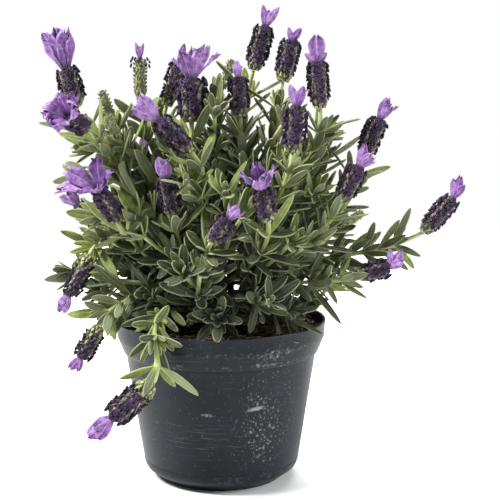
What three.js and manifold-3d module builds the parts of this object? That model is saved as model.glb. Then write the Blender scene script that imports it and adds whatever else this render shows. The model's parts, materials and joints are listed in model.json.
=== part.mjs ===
// A butterfly lavender in a plastic nursery pot, in millimetres, +Z up.
// The origin is the centre of the pot's flat underside. The pot is seen from the -Y side.
//
// The pot holds a ball of compost. Six woody stems stand in plain holes in the compost, and each
// forks into square green shoots with whorls of four narrow leaves. A flowering shoot ends in a
// spike of dark florets, and the spike carries a tuft of pale sterile bracts.
// Shoots and leaves are grown by a seeded rule that bends each one clear of those already there.
import * as THREE from "three";
import { mergeVertices } from "three/addons/utils/BufferGeometryUtils.js";
import Module from "manifold-3d";

const wasm = await Module();
wasm.setup();

// ---------------------------------------------------------------- driving dimensions

const GAP = 0.3; // between pieces that touch

const POT = {
  rimRadius: 65,
  height: 99,
  footRadius: 39,
  heelRadius: 48.2, // where the chamfer over the foot ends
  heelHeight: 9.2,
  shoulderRadius: 59.1, // top of the plain wall, under the collar
  shoulderHeight: 78.9,
  collarRadius: 60.4, // bottom edge of the collar, where its bevel starts
  bandRadius: 64.3, // bottom edge of the upright band round the rim
  bandHeight: 88.8,
  wall: 1.5,
  floor: 2,
  sides: 36,
};
const DRAIN = { count: 6, radius: 4.5, ring: 28, sides: 7 };

const SOIL = { top: 93.5, mound: 2.5, ripple: 1.1, sides: 18, rings: [22, 42] };

const TRUNK = {
  count: 6, ring: 13, radius: 2.6, tipRadius: 2.2, sides: 6, foot: 80, bend: 98, top: 150, reach: 35,
  rows: 5, // of places where shoots can grow, one on each face
};

const STEM = { baseRadius: 1.6, tipRadius: 1.25, nodeLength: 2, longestStep: 15, rootLength: 7.5 };

const LEAF = {
  shortest: 21,
  longest: 32,
  halfWidth: 3, // of the longest leaf
  thickness: 1,
  whorlSpacing: 19.5,
  second: 0.78, // length of the two leaves that stand between the larger pair
};
// Ways to make room for a leaf: turned aside, opened wider, and made shorter.
const LEAF_TRIES = [
  [0, 0, 1], [0.35, 0, 1], [-0.35, 0, 1], [0, 16, 0.92], [0, -12, 0.85],
  [0.65, 8, 0.85], [-0.65, 8, 0.85], [0.3, 24, 0.72], [-0.3, -6, 0.66],
];

const SPIKE = { radius: 7.6, sides: 8, bands: 7, valley: 0.7, ends: [2.8, 2.6] };
const BRACT = { halfWidth: 5.6, thickness: 0.9, postRadius: 2.5, postHeight: 2.2 };
const BUD = { radius: 3.9, girths: [0.62, 1, 0.84, 0.98, 0.6] };

// Every flower head: where its spike starts, where the spike ends, and the tip of its tallest bract.
// spread is how far the bracts open from the spike's axis, in degrees, and size scales the spike's
// girth. A shoot that droops or leans far out gives its own two control points, rise and bend.
const BLOOMS = [
  { base: [-86, -8, 229], top: [-91, -10, 250], tip: [-94, -10, 275], spread: 24, size: 1.1 },
  { base: [-76, -37, 217], top: [-84, -52, 224], tip: [-92, -62, 229], spread: 68, size: 1.0 },
  { base: [-49, 8, 234], top: [-49, 8, 257], tip: [-48, 8, 267], spread: 16, size: 0.72 },
  { base: [-17, -32, 203], top: [-34, -35, 221], tip: [-43, -37, 233], spread: 26, size: 0.95 },
  { base: [-17, -6, 220], top: [-17, -8, 243], tip: [-13, -10, 262], spread: 40, size: 1.2, petals: 5 },
  { base: [-34, 20, 229], top: [-26, 20, 255], tip: [-24, 20, 266], spread: 18, size: 0.9 },
  { base: [12, -5, 223], top: [11, -5, 245], tip: [11, -5, 256], spread: 25, size: 0.95 },
  { base: [20, 12, 251], top: [27, 12, 276], tip: [30, 12, 289], spread: 27, size: 1.0 },
  { base: [38, 5, 244], top: [43, 5, 267], tip: [45, 5, 276], spread: 30, size: 1.0 },
  { base: [60, -10, 228], top: [58, -10, 254], tip: [58, -10, 271], spread: 27, size: 1.0, petals: 3 },
  { base: [43, -32, 203], top: [45, -32, 228], tip: [45, -33, 241], spread: 30, size: 1.05 },
  { base: [87, 0, 198], top: [96, 0, 220], tip: [99, 0, 232], spread: 26, size: 1.0 },
  { base: [72, -27, 174], top: [81, -28, 193], tip: [83, -29, 206], spread: 27, size: 1.0 },
  {
    base: [124, -6, 153], top: [141, -6, 173], tip: [144, -6, 185], spread: 22, size: 0.95,
    rise: [36, -4, 138], bend: [90, -6, 134],
  },
  {
    base: [83, -28, 130], top: [99, -32, 135], tip: [106, -34, 145], spread: 36, size: 0.95,
    rise: [30, -14, 128], bend: [60, -23, 121],
  },
  { base: [-59, -40, 164], top: [-67, -53, 182], tip: [-76, -62, 190], spread: 64, size: 0.95 },
  { base: [-26, -44, 167], top: [-30, -47, 188], tip: [-29, -49, 200], spread: 29, size: 0.9 },
  { base: [28, -60, 167], top: [25, -68, 184], tip: [25, -71, 197], spread: 34, size: 0.95 },
  { base: [-3, -62, 155], top: [6, -70, 168], tip: [11, -73, 176], spread: 25, size: 0.95 },
  {
    base: [-77, -29, 142], top: [-88, -34, 120], tip: [-93, -36, 112], spread: 24, size: 0.85,
    rise: [-24, -14, 156], bend: [-66, -25, 163],
  },
  {
    base: [-70, -42, 102], top: [-80, -46, 85], tip: [-84, -47, 78], spread: 30, size: 0.9,
    rise: [-30, -22, 126], bend: [-61, -39, 121],
  },
  {
    base: [-37, -74, 76], top: [-58, -77, 58], tip: [-74, -78, 47], spread: 14, size: 1.0,
    rise: [-60, -40, 124], bend: [-24, -86, 98],
  },
  // The side that the photograph doesn't show.
  { base: [-44, 56, 172], top: [-52, 66, 192], tip: [-56, 71, 205], spread: 26, size: 1.0 },
  { base: [3, 66, 178], top: [4, 76, 200], tip: [4, 81, 214], spread: 24, size: 0.95 },
  { base: [48, 58, 168], top: [57, 68, 187], tip: [61, 73, 199], spread: 28, size: 1.0 },
  { base: [-76, 28, 150], top: [-92, 34, 165], tip: [-101, 38, 173], spread: 24, size: 0.9 },
];

// Flower buds that are still green: where each starts and ends.
const BUDS = [
  { base: [-66, 2, 222], top: [-72, 2, 238] },
  { base: [-60, -15, 210], top: [-66, -19, 224] },
  { base: [1, 25, 240], top: [7, 26, 257] },
  { base: [65, 12, 203], top: [70, 12, 220] },
  { base: [76, 33, 150], top: [91, 39, 160] },
];

// Leafy shoots that lean far out: where each ends, its way there, and its control points.
const SPRIGS = [
  { end: [-88, -21, 129], along: [-1, 0, -0.12], rise: [-34, -10, 128], bend: [-64, -17, 131] },
];

// Other shoots with leaves only end on a dome over the pot.
const DOME = {
  width: 72, depth: 66, rise: 98, centre: 112, round: 2.6, shoots: 17, turn: 137.5, first: 64,
};
// More leafy shoots spread low over the rim of the pot.
const SKIRT = { shoots: 7, radius: 53, height: 113, first: 270 };

const SEED = 20117;

// ---------------------------------------------------------------- small vector helpers

const add = (a, b) => [a[0] + b[0], a[1] + b[1], a[2] + b[2]];
const sub = (a, b) => [a[0] - b[0], a[1] - b[1], a[2] - b[2]];
const times = (a, k) => [a[0] * k, a[1] * k, a[2] * k];
const plus = (a, b, k) => [a[0] + b[0] * k, a[1] + b[1] * k, a[2] + b[2] * k];
const dot = (a, b) => a[0] * b[0] + a[1] * b[1] + a[2] * b[2];
const cross = (a, b) => [
  a[1] * b[2] - a[2] * b[1],
  a[2] * b[0] - a[0] * b[2],
  a[0] * b[1] - a[1] * b[0],
];
const length = (a) => Math.sqrt(dot(a, a));
const unit = (a) => times(a, 1 / length(a));
const radians = (degrees) => (degrees * Math.PI) / 180;
const UP = [0, 0, 1];

// A direction across an axis, the same one each time, and a second one at right angles to both.
function across(axis) {
  const side = unit(cross(axis, Math.abs(axis[2]) < 0.9 ? UP : [1, 0, 0]));
  return [side, cross(axis, side)];
}

// A point at a radius and a turn round a centre, in the plane of two directions.
const around = (at, u, v, r, turn) => plus(plus(at, u, r * Math.cos(turn)), v, r * Math.sin(turn));
const mixed = (a, b, t) => [0, 1, 2].map((i) => a[i] + (b[i] - a[i]) * t);

// A repeatable source of numbers from 0 to 1.
function dice(seed) {
  let state = seed >>> 0;
  return () => {
    state = (Math.imul(state, 1664525) + 1013904223) >>> 0;
    return state / 4294967296;
  };
}

// A point and a direction on a cubic Bezier curve.
function bezier([a, b, c, d], t) {
  const s = 1 - t;
  const mix = (p, q, r, u) =>
    [0, 1, 2].map((i) => s * s * s * p[i] + 3 * s * s * t * q[i] + 3 * s * t * t * r[i] + t * t * t * u[i]);
  const slope = (p, q, r, u) =>
    [0, 1, 2].map((i) => s * s * (q[i] - p[i]) + 2 * s * t * (r[i] - q[i]) + t * t * (u[i] - r[i]));
  return { at: mix(a, b, c, d), along: unit(slope(a, b, c, d)) };
}

// ---------------------------------------------------------------- solids

// A closed solid lofted through rings of points. Each ring has the same number of points.
function loft(rings) {
  const n = rings[0].length;
  const position = rings.flat(2);
  const index = [];
  rings.slice(1).forEach((_, i) => {
    for (let j = 0; j < n; j++) {
      const k = (j + 1) % n;
      const [a, b, c, d] = [i * n + j, i * n + k, (i + 1) * n + k, (i + 1) * n + j];
      index.push(a, b, c, a, c, d);
    }
  });
  const cap = (ring, turn) => {
    for (let j = 1; j < n - 1; j++) {
      const [b, c] = turn ? [j + 1, j] : [j, j + 1];
      index.push(ring * n, ring * n + b, ring * n + c);
    }
  };
  cap(0, true);
  cap(rings.length - 1, false);
  const geometry = new THREE.BufferGeometry();
  geometry.setAttribute("position", new THREE.Float32BufferAttribute(position, 3));
  geometry.setIndex(index);
  return geometry;
}

// A three.js geometry as a manifold-3d solid. A solid that came out inside out is turned round.
function solid(geometry) {
  const bare = geometry.clone();
  bare.deleteAttribute("normal");
  bare.deleteAttribute("uv");
  const merged = mergeVertices(bare, 1e-4);
  const triVerts = new Uint32Array(merged.index.array);
  const vertProperties = merged.attributes.position.array;
  const made = new wasm.Manifold(new wasm.Mesh({ numProp: 3, vertProperties, triVerts }));
  if (made.volume() > 0) return made;
  for (let i = 0; i < triVerts.length; i += 3) triVerts.subarray(i, i + 3).reverse();
  return new wasm.Manifold(new wasm.Mesh({ numProp: 3, vertProperties, triVerts }));
}

function named(name, made, material) {
  const { vertProperties, triVerts } = made.getMesh();
  const geometry = new THREE.BufferGeometry();
  geometry.setAttribute("position", new THREE.BufferAttribute(vertProperties, 3));
  geometry.setIndex(new THREE.BufferAttribute(triVerts, 1));
  geometry.computeVertexNormals();
  const mesh = new THREE.Mesh(geometry, material);
  mesh.name = name;
  return mesh;
}

// ---------------------------------------------------------------- pot and compost

// The inside of the pot, from the floor's edge to the rim: [radius, height] pairs.
const INSIDE = [
  [POT.footRadius - POT.wall, POT.floor],
  [POT.heelRadius - POT.wall, POT.heelHeight + 0.8],
  [POT.shoulderRadius - POT.wall, POT.shoulderHeight + 0.6],
  [POT.bandRadius - POT.wall, POT.bandHeight + 0.6],
  [POT.rimRadius - POT.wall, POT.height],
];

function turned(profile, sides) {
  const points = profile.map(([r, z]) => new THREE.Vector2(r, z));
  return solid(new THREE.LatheGeometry(points, sides).rotateX(Math.PI / 2));
}

function makePot() {
  const outside = [
    [0, 0],
    [POT.footRadius, 0],
    [POT.heelRadius - 1.2, POT.heelHeight - 2.6],
    [POT.heelRadius, POT.heelHeight],
    [POT.shoulderRadius, POT.shoulderHeight],
    [POT.collarRadius, POT.shoulderHeight + 0.5],
    [POT.bandRadius, POT.bandHeight],
    [POT.rimRadius, POT.height],
  ];
  let pot = turned([...outside, ...[...INSIDE].reverse(), [0, POT.floor]], POT.sides);
  for (let i = 0; i < DRAIN.count; i++) {
    const turn = radians((i + 0.5) * (360 / DRAIN.count));
    const hole = new THREE.CylinderGeometry(DRAIN.radius, DRAIN.radius, 4 * POT.floor, DRAIN.sides)
      .rotateX(Math.PI / 2)
      .translate(DRAIN.ring * Math.cos(turn), DRAIN.ring * Math.sin(turn), 0);
    pot = pot.subtract(solid(hole));
  }
  return pot;
}

// The height of the compost: a low mound with a ripple.
function soilHeight(x, y) {
  const r = Math.hypot(x, y) / POT.rimRadius;
  const ripple = Math.sin(x * 0.21 + 1.3) * Math.cos(y * 0.17) + 0.6 * Math.sin((x - y) * 0.38);
  return SOIL.top + SOIL.mound * (1 - r * r) + SOIL.ripple * ripple;
}

function makeSoil(trunks) {
  const ring = (r, height) =>
    Array.from({ length: SOIL.sides }, (_, j) => {
      const turn = (j / SOIL.sides) * 2 * Math.PI;
      const [x, y] = [r * Math.cos(turn), r * Math.sin(turn)];
      return [x, y, height ?? soilHeight(x, y)];
    });
  // A polygon inside a round wall touches it at its corners, and so does the pot's own inside.
  const fit = (r) => r * Math.cos(Math.PI / POT.sides) - GAP;
  const [floor, heel, shoulder, band, rim] = INSIDE;
  const share = (SOIL.top - band[1]) / (rim[1] - band[1]);
  const brim = fit(band[0] + (rim[0] - band[0]) * share) - 0.2;
  const rings = [
    ring(0.5, POT.floor + GAP),
    ring(fit(floor[0]) - 0.5, POT.floor + GAP),
    ring(fit(heel[0]), heel[1] + 0.3),
    ring(fit(shoulder[0]), shoulder[1] + 0.2),
    ring(fit(band[0]), band[1] + 0.3),
    ring(brim),
    ...[...SOIL.rings].reverse().map((r) => ring(r)),
    ring(0.5),
  ];
  let soil = solid(loft(rings));
  trunks.forEach(({ foot: [x, y] }) => {
    const r = TRUNK.radius + GAP + 0.15;
    const depth = 30;
    const hole = new THREE.CylinderGeometry(r, r, depth, 8)
      .rotateX(Math.PI / 2)
      .translate(x, y, TRUNK.foot - GAP + depth / 2);
    soil = soil.subtract(solid(hole));
  });
  return soil;
}

// ---------------------------------------------------------------- growing room

// Every piece of the plant is also a row of beads. A new shoot or leaf is let in only where its
// beads keep clear of the beads of other pieces, of the pot and of the compost.
const CELL = 5;
const smallBeads = new Map();
const bigBeads = [];
const cellOf = (p) => p.map((c) => Math.floor(c / CELL));
const BIG = 2.6;

function keep(row) {
  row.forEach((bead) => {
    if (bead.r > BIG) {
      bigBeads.push(bead);
      return;
    }
    const key = cellOf(bead.p).join();
    if (!smallBeads.has(key)) smallBeads.set(key, []);
    smallBeads.get(key).push(bead);
  });
}

function touches(a, b, gap) {
  const reach = a.r + b.r + gap;
  const d = sub(a.p, b.p);
  return dot(d, d) < reach * reach;
}

function touchesSmall(bead, gap, skip) {
  const [i, j, k] = cellOf(bead.p);
  const far = bead.r > BIG ? 3 : 1;
  for (let x = i - far; x <= i + far; x++) {
    for (let y = j - far; y <= j + far; y++) {
      for (let z = k - far; z <= k + far; z++) {
        const cell = smallBeads.get([x, y, z].join());
        if (cell?.some((b) => !skip.includes(b.owner) && touches(bead, b, gap))) return true;
      }
    }
  }
  return false;
}

// True where no bead of another owner is nearer than the gap. Owners in the skip list don't count.
function isClear(row, gap, skip) {
  return row.every(
    (bead) =>
      !bigBeads.some((b) => !skip.includes(b.owner) && touches(bead, b, gap)) &&
      !touchesSmall(bead, gap, skip),
  );
}

function clearOfPot({ p, r }) {
  const out = Math.hypot(p[0], p[1]);
  const room = r + 0.4;
  if (p[2] - room > POT.height) return true;
  if (out + room < POT.rimRadius - POT.wall - 2.5) return p[2] - room > soilHeight(p[0], p[1]);
  return out - room > POT.rimRadius && p[2] - room > 0;
}

// ---------------------------------------------------------------- the plan of the plant

// The trunks stand in the compost and then lean outwards, each to its own side of the pot.
function planTrunks() {
  return Array.from({ length: TRUNK.count }, (_, i) => {
    const turn = radians(30 + (360 / TRUNK.count) * i);
    const at = (r, z) => [r * Math.cos(turn), r * Math.sin(turn), z];
    const { ring, bend, top, reach } = TRUNK;
    const rise = (top - bend) / 3;
    const leaning = [at(ring + 1, bend + rise), at(ring + 12, bend + 2 * rise)];
    const course = [at(ring, bend), ...leaning, at(reach, top)];
    const trunk = { turn, course, foot: at(ring, TRUNK.foot), taken: [] };
    trunk.frames = trunkFrames(trunk);
    const points = Array.from({ length: 21 }, (_, k) => bezier(course, k / 20).at);
    keep(points.map((p) => ({ p, r: TRUNK.radius, owner: "trunk" })));
    return trunk;
  });
}

// Two frames for every row of places: the lower and the upper edge of the row.
function trunkFrames(trunk) {
  const stations = [0];
  for (let row = 0; row < TRUNK.rows; row++) {
    const t = 0.08 + (0.88 * row) / (TRUNK.rows - 1);
    stations.push(t - 0.024, t + 0.024);
  }
  return framesAlong(trunk, stations);
}

const trunkRadius = (t) => TRUNK.radius + (TRUNK.tipRadius - TRUNK.radius) * t;

// The places on a trunk where no shoot grows yet, those that suit the end best first.
function freePlaces(trunk, end) {
  const wanted = Math.min(0.95, Math.max(0.05, (end[2] - 95) / 140));
  const places = [];
  for (let row = 0; row < TRUNK.rows; row++) {
    const [low, high] = trunk.frames.slice(1 + 2 * row, 3 + 2 * row);
    for (let face = 0; face < TRUNK.sides; face++) {
      const turn = (face / TRUNK.sides) * 2 * Math.PI;
      const normal = around([0, 0, 0], low.u, low.v, 1, turn);
      const inside = trunkRadius(low.t) * Math.cos(Math.PI / TRUNK.sides);
      const centre = plus(mixed(low.at, high.at, 0.5), normal, inside);
      const right = cross(low.along, normal);
      const fit = dot(normal, unit(sub(end, centre))) - 1.1 * Math.abs(low.t - wanted);
      places.push({ key: row * TRUNK.sides + face, normal, centre, right, fit });
    }
  }
  return places.filter(({ key }) => !trunk.taken.includes(key)).sort((a, b) => b.fit - a.fit);
}

// The trunk whose side of the pot a point is on.
function nearestTrunk(trunks, p) {
  const side = Math.atan2(p[1], p[0]);
  const nearness = trunks.map((trunk) => Math.cos(side - trunk.turn));
  return nearness.indexOf(Math.max(...nearness));
}

// A bloom's own room: beads along its spike, and wider ones where the bracts open.
function bloomBeads({ base, top, tip, spread, size }, owner) {
  const girth = SPIKE.radius * size + 0.4;
  const spike = [0.02, 0.25, 0.5, 0.75, 0.98].map((t, i) => {
    return { p: mixed(base, top, t), r: i % 4 ? girth : girth * 0.75, owner };
  });
  const open = Math.tan(radians(Math.min(spread, 45))) * length(sub(tip, top));
  const tuft = [0.3, 0.6, 0.88].map((t, i) => {
    return { p: mixed(top, tip, t), r: 3.2 + open * [0.4, 0.7, 0.85][i], owner };
  });
  return [...spike, ...tuft];
}

// Tries a straight course and then ones that sway to either side, and keeps the first that is clear.
function planCourse(place, end, along, name, rise, bend) {
  const start = place.centre;
  const reach = length(sub(end, start));
  const upwards = unit([end[0] - start[0], end[1] - start[1], 0.9 * reach]);
  const lean = unit(plus(upwards, place.normal, 0.7));
  const [side, other] = across(unit(sub(end, start)));
  const count = Math.ceil(reach / 2.4);
  for (const sway of [0, 6, -6, 12, -12, 18, -18, 25, -25]) {
    for (const lift of [0, 7, -7, 14, -14]) {
      const shift = add(times(side, sway), times(other, lift));
      const first = rise ?? plus(start, lean, 0.32 * reach);
      const last = bend ?? plus(end, along, -0.36 * reach);
      const course = [start, add(first, times(shift, 0.7)), add(last, times(shift, 0.7)), end];
      if (dot(unit(sub(course[1], start)), place.normal) < 0.35) continue;
      const row = Array.from({ length: count }, (_, i) => {
        return { p: bezier(course, (i + 1) / count).at, r: STEM.baseRadius, owner: "stem of " + name };
      });
      const root = row.slice(0, 3).map((bead) => ({ ...bead, r: 1.15 }));
      const free = row.slice(3);
      if (free.every(clearOfPot) && isClear(free, 0.7, [name]) && isClear(root, 0.2, [name, "trunk"])) {
        keep(row);
        return { course, reach, name };
      }
    }
  }
  return null;
}

function planShoots(trunks, draw) {
  const shoots = [];
  const grow = (kind, which, end, along, { rise, bend, trunk, leafy }) => {
    const from = trunk ?? nearestTrunk(trunks, end);
    for (const place of freePlaces(trunks[from], end)) {
      const found = planCourse(place, end, along, kind + which, rise, bend);
      if (found) {
        trunks[from].taken.push(place.key);
        shoots.push({ ...found, kind, which, leafy, trunk: from, place, axis: along });
        return;
      }
    }
    if (kind !== "leafy") throw new Error(`no room for ${kind} ${which + 1}`);
  };
  BLOOMS.forEach((bloom, i) => keep(bloomBeads(bloom, "flower" + i)));
  BUDS.forEach(({ base, top }, i) => {
    const points = [0.2, 0.5, 0.8, 1].map((t) => mixed(base, top, t));
    keep(points.map((p) => ({ p, r: BUD.radius + 0.3, owner: "bud" + i })));
  });
  BLOOMS.forEach((bloom, i) => {
    const along = unit(sub(bloom.top, bloom.base));
    grow("flower", i, plus(bloom.base, along, -GAP), along, { leafy: [0.36, 0.84], ...bloom });
  });
  BUDS.forEach((bud, i) => {
    grow("bud", i, bud.base, unit(sub(bud.top, bud.base)), { leafy: [0.36, 0.9], ...bud });
  });
  SPRIGS.forEach(({ end, along, ...course }, i) => {
    const which = DOME.shoots + SKIRT.shoots + i;
    grow("leafy", which, end, unit(along), { leafy: [0.42, 0.97], ...course });
  });
  for (let i = 0; i < DOME.shoots; i++) {
    const turn = radians(DOME.first + DOME.turn * i);
    const high = ((i + 0.5) / DOME.shoots) * 0.97;
    const wide = (1 - high ** DOME.round) ** (1 / DOME.round) * (0.92 + 0.12 * draw());
    const [x, y] = [Math.cos(turn) * wide, Math.sin(turn) * wide];
    const end = [DOME.width * x, DOME.depth * y, DOME.centre + DOME.rise * high];
    grow("leafy", i, end, unit([x, y, 0.45 + high]), { leafy: [0.42, 0.95] });
  }
  for (let i = 0; i < SKIRT.shoots; i++) {
    const turn = radians(SKIRT.first + (360 * i) / SKIRT.shoots);
    const [x, y] = [Math.cos(turn), Math.sin(turn)];
    const end = [SKIRT.radius * x, SKIRT.radius * y, SKIRT.height + 10 * (draw() - 0.5)];
    grow("leafy", DOME.shoots + i, end, unit([x, y, 0.15]), { leafy: [0.5, 0.93] });
  }
  return shoots;
}

// Frames up a curve: each is turned as little as can be from the one below it. The last frame of a
// shoot is square to what the shoot carries.
function framesAlong({ course, place, axis }, stations) {
  let u = null;
  return stations.map((t) => {
    const { at, along: slope } = bezier(course, t);
    const along = t === 1 && axis ? axis : slope;
    u ??= place ? place.right : across(along)[0];
    u = unit(plus(u, along, -dot(u, along)));
    return { t, at, along, u, v: cross(along, u) };
  });
}

const stemRadius = (t) => STEM.baseRadius + (STEM.tipRadius - STEM.baseRadius) * t;

// Four leaves round the stem at each joint but the lowest: a large pair, and a smaller pair between
// them. The pairs change places at the next joint.
function planLeaves(shoots, draw) {
  shoots.forEach((shoot) => {
    const [from, to] = shoot.leafy;
    const count = Math.max(2, Math.round((shoot.reach * (to - from)) / LEAF.whorlSpacing) + 1);
    const heights = Array.from({ length: count }, (_, i) => from + ((to - from) * i) / (count - 1));
    const frames = framesAlong(shoot, [0, ...heights]).slice(1);
    shoot.joints = frames.map((frame, i) => ({ frame, turn: i % 2, high: i / (count - 1), leaves: [] }));
  });
  const most = Math.max(...shoots.map((shoot) => shoot.joints.length));
  for (const pair of [0, 1]) {
    for (let down = 1; down <= most; down++) {
      for (const shoot of shoots) {
        const joint = shoot.joints[shoot.joints.length - down];
        if (!joint || (pair && joint.high === 0)) continue;
        for (const half of [0, 2]) {
          const face = (half + pair + joint.turn) % 4;
          const leaf = planLeaf(shoot, joint, face, pair ? LEAF.second : 1, draw);
          if (leaf) joint.leaves.push(leaf);
        }
      }
    }
  }
  shoots.forEach((shoot) => {
    shoot.joints = shoot.joints.filter((joint) => joint.leaves.length);
  });
}

// One leaf: a curve from the stem's face to the tip, with its broad side across the stem.
function planLeaf(shoot, { frame, high }, face, share, draw) {
  const { t, at, along, u, v } = frame;
  const joint = `joint ${t} of ${shoot.name}`;
  const top = high > 0.95 && shoot.kind === "leafy";
  const long = (LEAF.shortest + (LEAF.longest - LEAF.shortest) * draw()) * share * (top ? 0.85 : 1);
  const open = (top ? 24 : 38) + 26 * draw();
  const curl = 36 * draw() - 12;
  const sway = draw() * 0.5 - 0.25;
  const turn = face * (Math.PI / 2);
  const out = around([0, 0, 0], u, v, 1, turn);
  const start = plus(at, out, stemRadius(t) * Math.SQRT1_2);
  for (const [aside, wider, shrink] of LEAF_TRIES) {
    const lean = around([0, 0, 0], out, cross(along, out), 1, sway + aside);
    const reach = long * shrink;
    const mid = around(start, along, lean, reach * 0.5, radians(open + wider));
    const tip = around(mid, along, lean, reach * 0.5, radians(open + wider + curl));
    const side = cross(along, lean);
    const halfWidth = LEAF.halfWidth * (0.6 + 0.4 * (reach / LEAF.longest));
    const leaf = { face, start, mid, tip, side, halfWidth };
    const row = leafBeads(leaf, joint);
    const footIsClear = isClear(row.slice(0, 2), 0.15, ["stem of " + shoot.name, joint]);
    if (footIsClear && row.every(clearOfPot) && isClear(row.slice(2), 0.15, [])) {
      keep(row);
      return leaf;
    }
  }
  return null;
}

const leafWidth = (s) => Math.min(1, 0.5 + 1.4 * s, 3.3 * (1.06 - s));

// The first two beads are where the leaf meets its own stem.
function leafBeads(leaf, owner) {
  const row = [];
  for (const s of [0.03, 0.11, 0.22, 0.34, 0.46, 0.58, 0.7, 0.82, 0.91, 0.99]) {
    const half = leaf.halfWidth * leafWidth(s);
    const at = leafPoint(leaf, s);
    const offsets = s > 0.2 && s < 0.9 ? [-0.62, 0, 0.62] : [0];
    offsets.forEach((k) => row.push({ p: plus(at, leaf.side, k * half), r: 0.42 * half + 0.3, owner }));
  }
  return row;
}

function leafPoint({ start, mid, tip }, s) {
  return mixed(mixed(start, mid, s), mixed(mid, tip, s), s);
}

// ---------------------------------------------------------------- the plant's solids

// A mesh under construction. Faces are wound so that they are seen from outside.
function meshMaker() {
  const points = [];
  const faces = [];
  const make = {
    point: (p) => points.push(p) - 1,
    face: (...corners) => {
      for (let i = 2; i < corners.length; i++) faces.push(corners[0], corners[i - 1], corners[i]);
    },
    // Joins two loops that have the same number of corners.
    sleeve: (low, high) =>
      low.forEach((a, i) => {
        const j = (i + 1) % low.length;
        make.face(a, low[j], high[j], high[i]);
      }),
    cone: (loop, apex) => loop.forEach((a, i) => make.face(a, loop[(i + 1) % loop.length], apex)),
    solid: () => {
      const geometry = new THREE.BufferGeometry();
      geometry.setAttribute("position", new THREE.Float32BufferAttribute(points.flat(), 3));
      geometry.setIndex(faces);
      return solid(geometry);
    },
  };
  return make;
}

// A leaf that grows out of a four-cornered patch of the stem: a flat top and a keel underneath.
function addLeaf(make, [a, b, c, d], leaf) {
  const ring = (s, width) => {
    const at = leafPoint(leaf, s);
    const along = unit(sub(mixed(leaf.mid, leaf.tip, s), mixed(leaf.start, leaf.mid, s)));
    const face = unit(cross(along, leaf.side));
    const half = leaf.halfWidth * width;
    const top = plus(at, face, LEAF.thickness * 0.35);
    const keel = plus(at, face, -LEAF.thickness * 0.65);
    return [plus(top, leaf.side, -half), keel, plus(top, leaf.side, half)].map(make.point);
  };
  const near = ring(0.34, 0.96);
  const far = ring(0.76, 0.9);
  const [left, keel, right] = near;
  make.face(d, a, left);
  make.face(a, keel, left);
  make.face(a, b, keel);
  make.face(b, right, keel);
  make.face(b, c, right);
  make.face(c, d, left, right);
  make.sleeve(near, far);
  make.cone(far, make.point(leaf.tip));
}

// A square stem that grows out of a four-cornered patch of its trunk, with its leaves. It ends in a
// point, in a bud, or flat under a spike.
function addShoot(make, [a, b, c, d], shoot) {
  const stops = [{ t: 0 }];
  const stopAt = (t, leaves) => {
    const last = stops[stops.length - 1].t;
    const extra = Math.floor(((t - last) * shoot.reach) / STEM.longestStep);
    for (let i = 1; i <= extra; i++) stops.push({ t: last + ((t - last) * i) / (extra + 1) });
    stops.push({ t, leaves });
  };
  stops.push({ t: STEM.rootLength / shoot.reach });
  shoot.joints.forEach(({ frame, leaves }) => {
    const half = STEM.nodeLength / 2 / shoot.reach;
    stopAt(frame.t - half, leaves);
    stops.push({ t: frame.t + half });
  });
  stopAt(1);
  const loops = framesAlong(shoot, stops.map((stop) => stop.t)).map(({ t, at, u, v }) =>
    [-1, 1, 3, 5].map((k) => around(at, u, v, stemRadius(t), (k * Math.PI) / 4)),
  );
  const end = loops.length - 1;
  let low = [b, c, d, a];
  for (let i = 1; i <= end; i++) {
    if (i === end && shoot.kind === "leafy") {
      make.cone(low, make.point(bezier(shoot.course, 1).at));
      return;
    }
    const high = loops[i].map(make.point);
    for (let k = 0; k < 4; k++) {
      const patch = [low[k], low[(k + 1) % 4], high[(k + 1) % 4], high[k]];
      const leaf = stops[i - 1].leaves?.find(({ face }) => face === k);
      if (leaf) addLeaf(make, patch, leaf);
      else make.face(...patch);
    }
    low = high;
  }
  if (shoot.kind === "bud") addBud(make, low, BUDS[shoot.which], shoot);
  else make.face(...low);
}

// A green bud: square like its stem, and swollen in bands.
function addBud(make, low, { base, top }, shoot) {
  const { along, u, v } = framesAlong(shoot, [0, 0.25, 0.5, 0.75, 1])[4];
  const long = length(sub(top, base));
  BUD.girths.forEach((girth, i) => {
    const at = plus(base, along, (long * (i + 0.5)) / BUD.girths.length);
    const r = BUD.radius * girth;
    const high = [-1, 1, 3, 5].map((k) => make.point(around(at, u, v, r, (k * Math.PI) / 4)));
    make.sleeve(low, high);
    low = high;
  });
  make.cone(low, make.point(top));
}

// A flower spike: a round body raised into florets, where every other corner stands out and the
// bands alternate.
function spikeSolid({ base, top, size }) {
  const make = meshMaker();
  const { radius, sides, bands, valley, ends } = SPIKE;
  const axis = unit(sub(top, base));
  const [u, v] = across(axis);
  const loops = Array.from({ length: bands + 1 }, (_, i) => {
    const s = i / bands;
    const swell = Math.min(1, 0.62 + 2.6 * s, 0.7 + 1.9 * (1 - s));
    return Array.from({ length: sides }, (_, j) => {
      const turn = (j / sides) * 2 * Math.PI;
      const floret = radius * size * swell * ((i + j) % 2 ? valley : 1);
      const r = i % bands ? floret : ends[i / bands];
      return make.point(around(mixed(base, top, s), u, v, r, turn));
    });
  });
  make.face(...[...loops[0]].reverse());
  loops.slice(1).forEach((loop, i) => make.sleeve(loops[i], loop));
  make.face(...loops[bands]);
  return make.solid();
}

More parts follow.
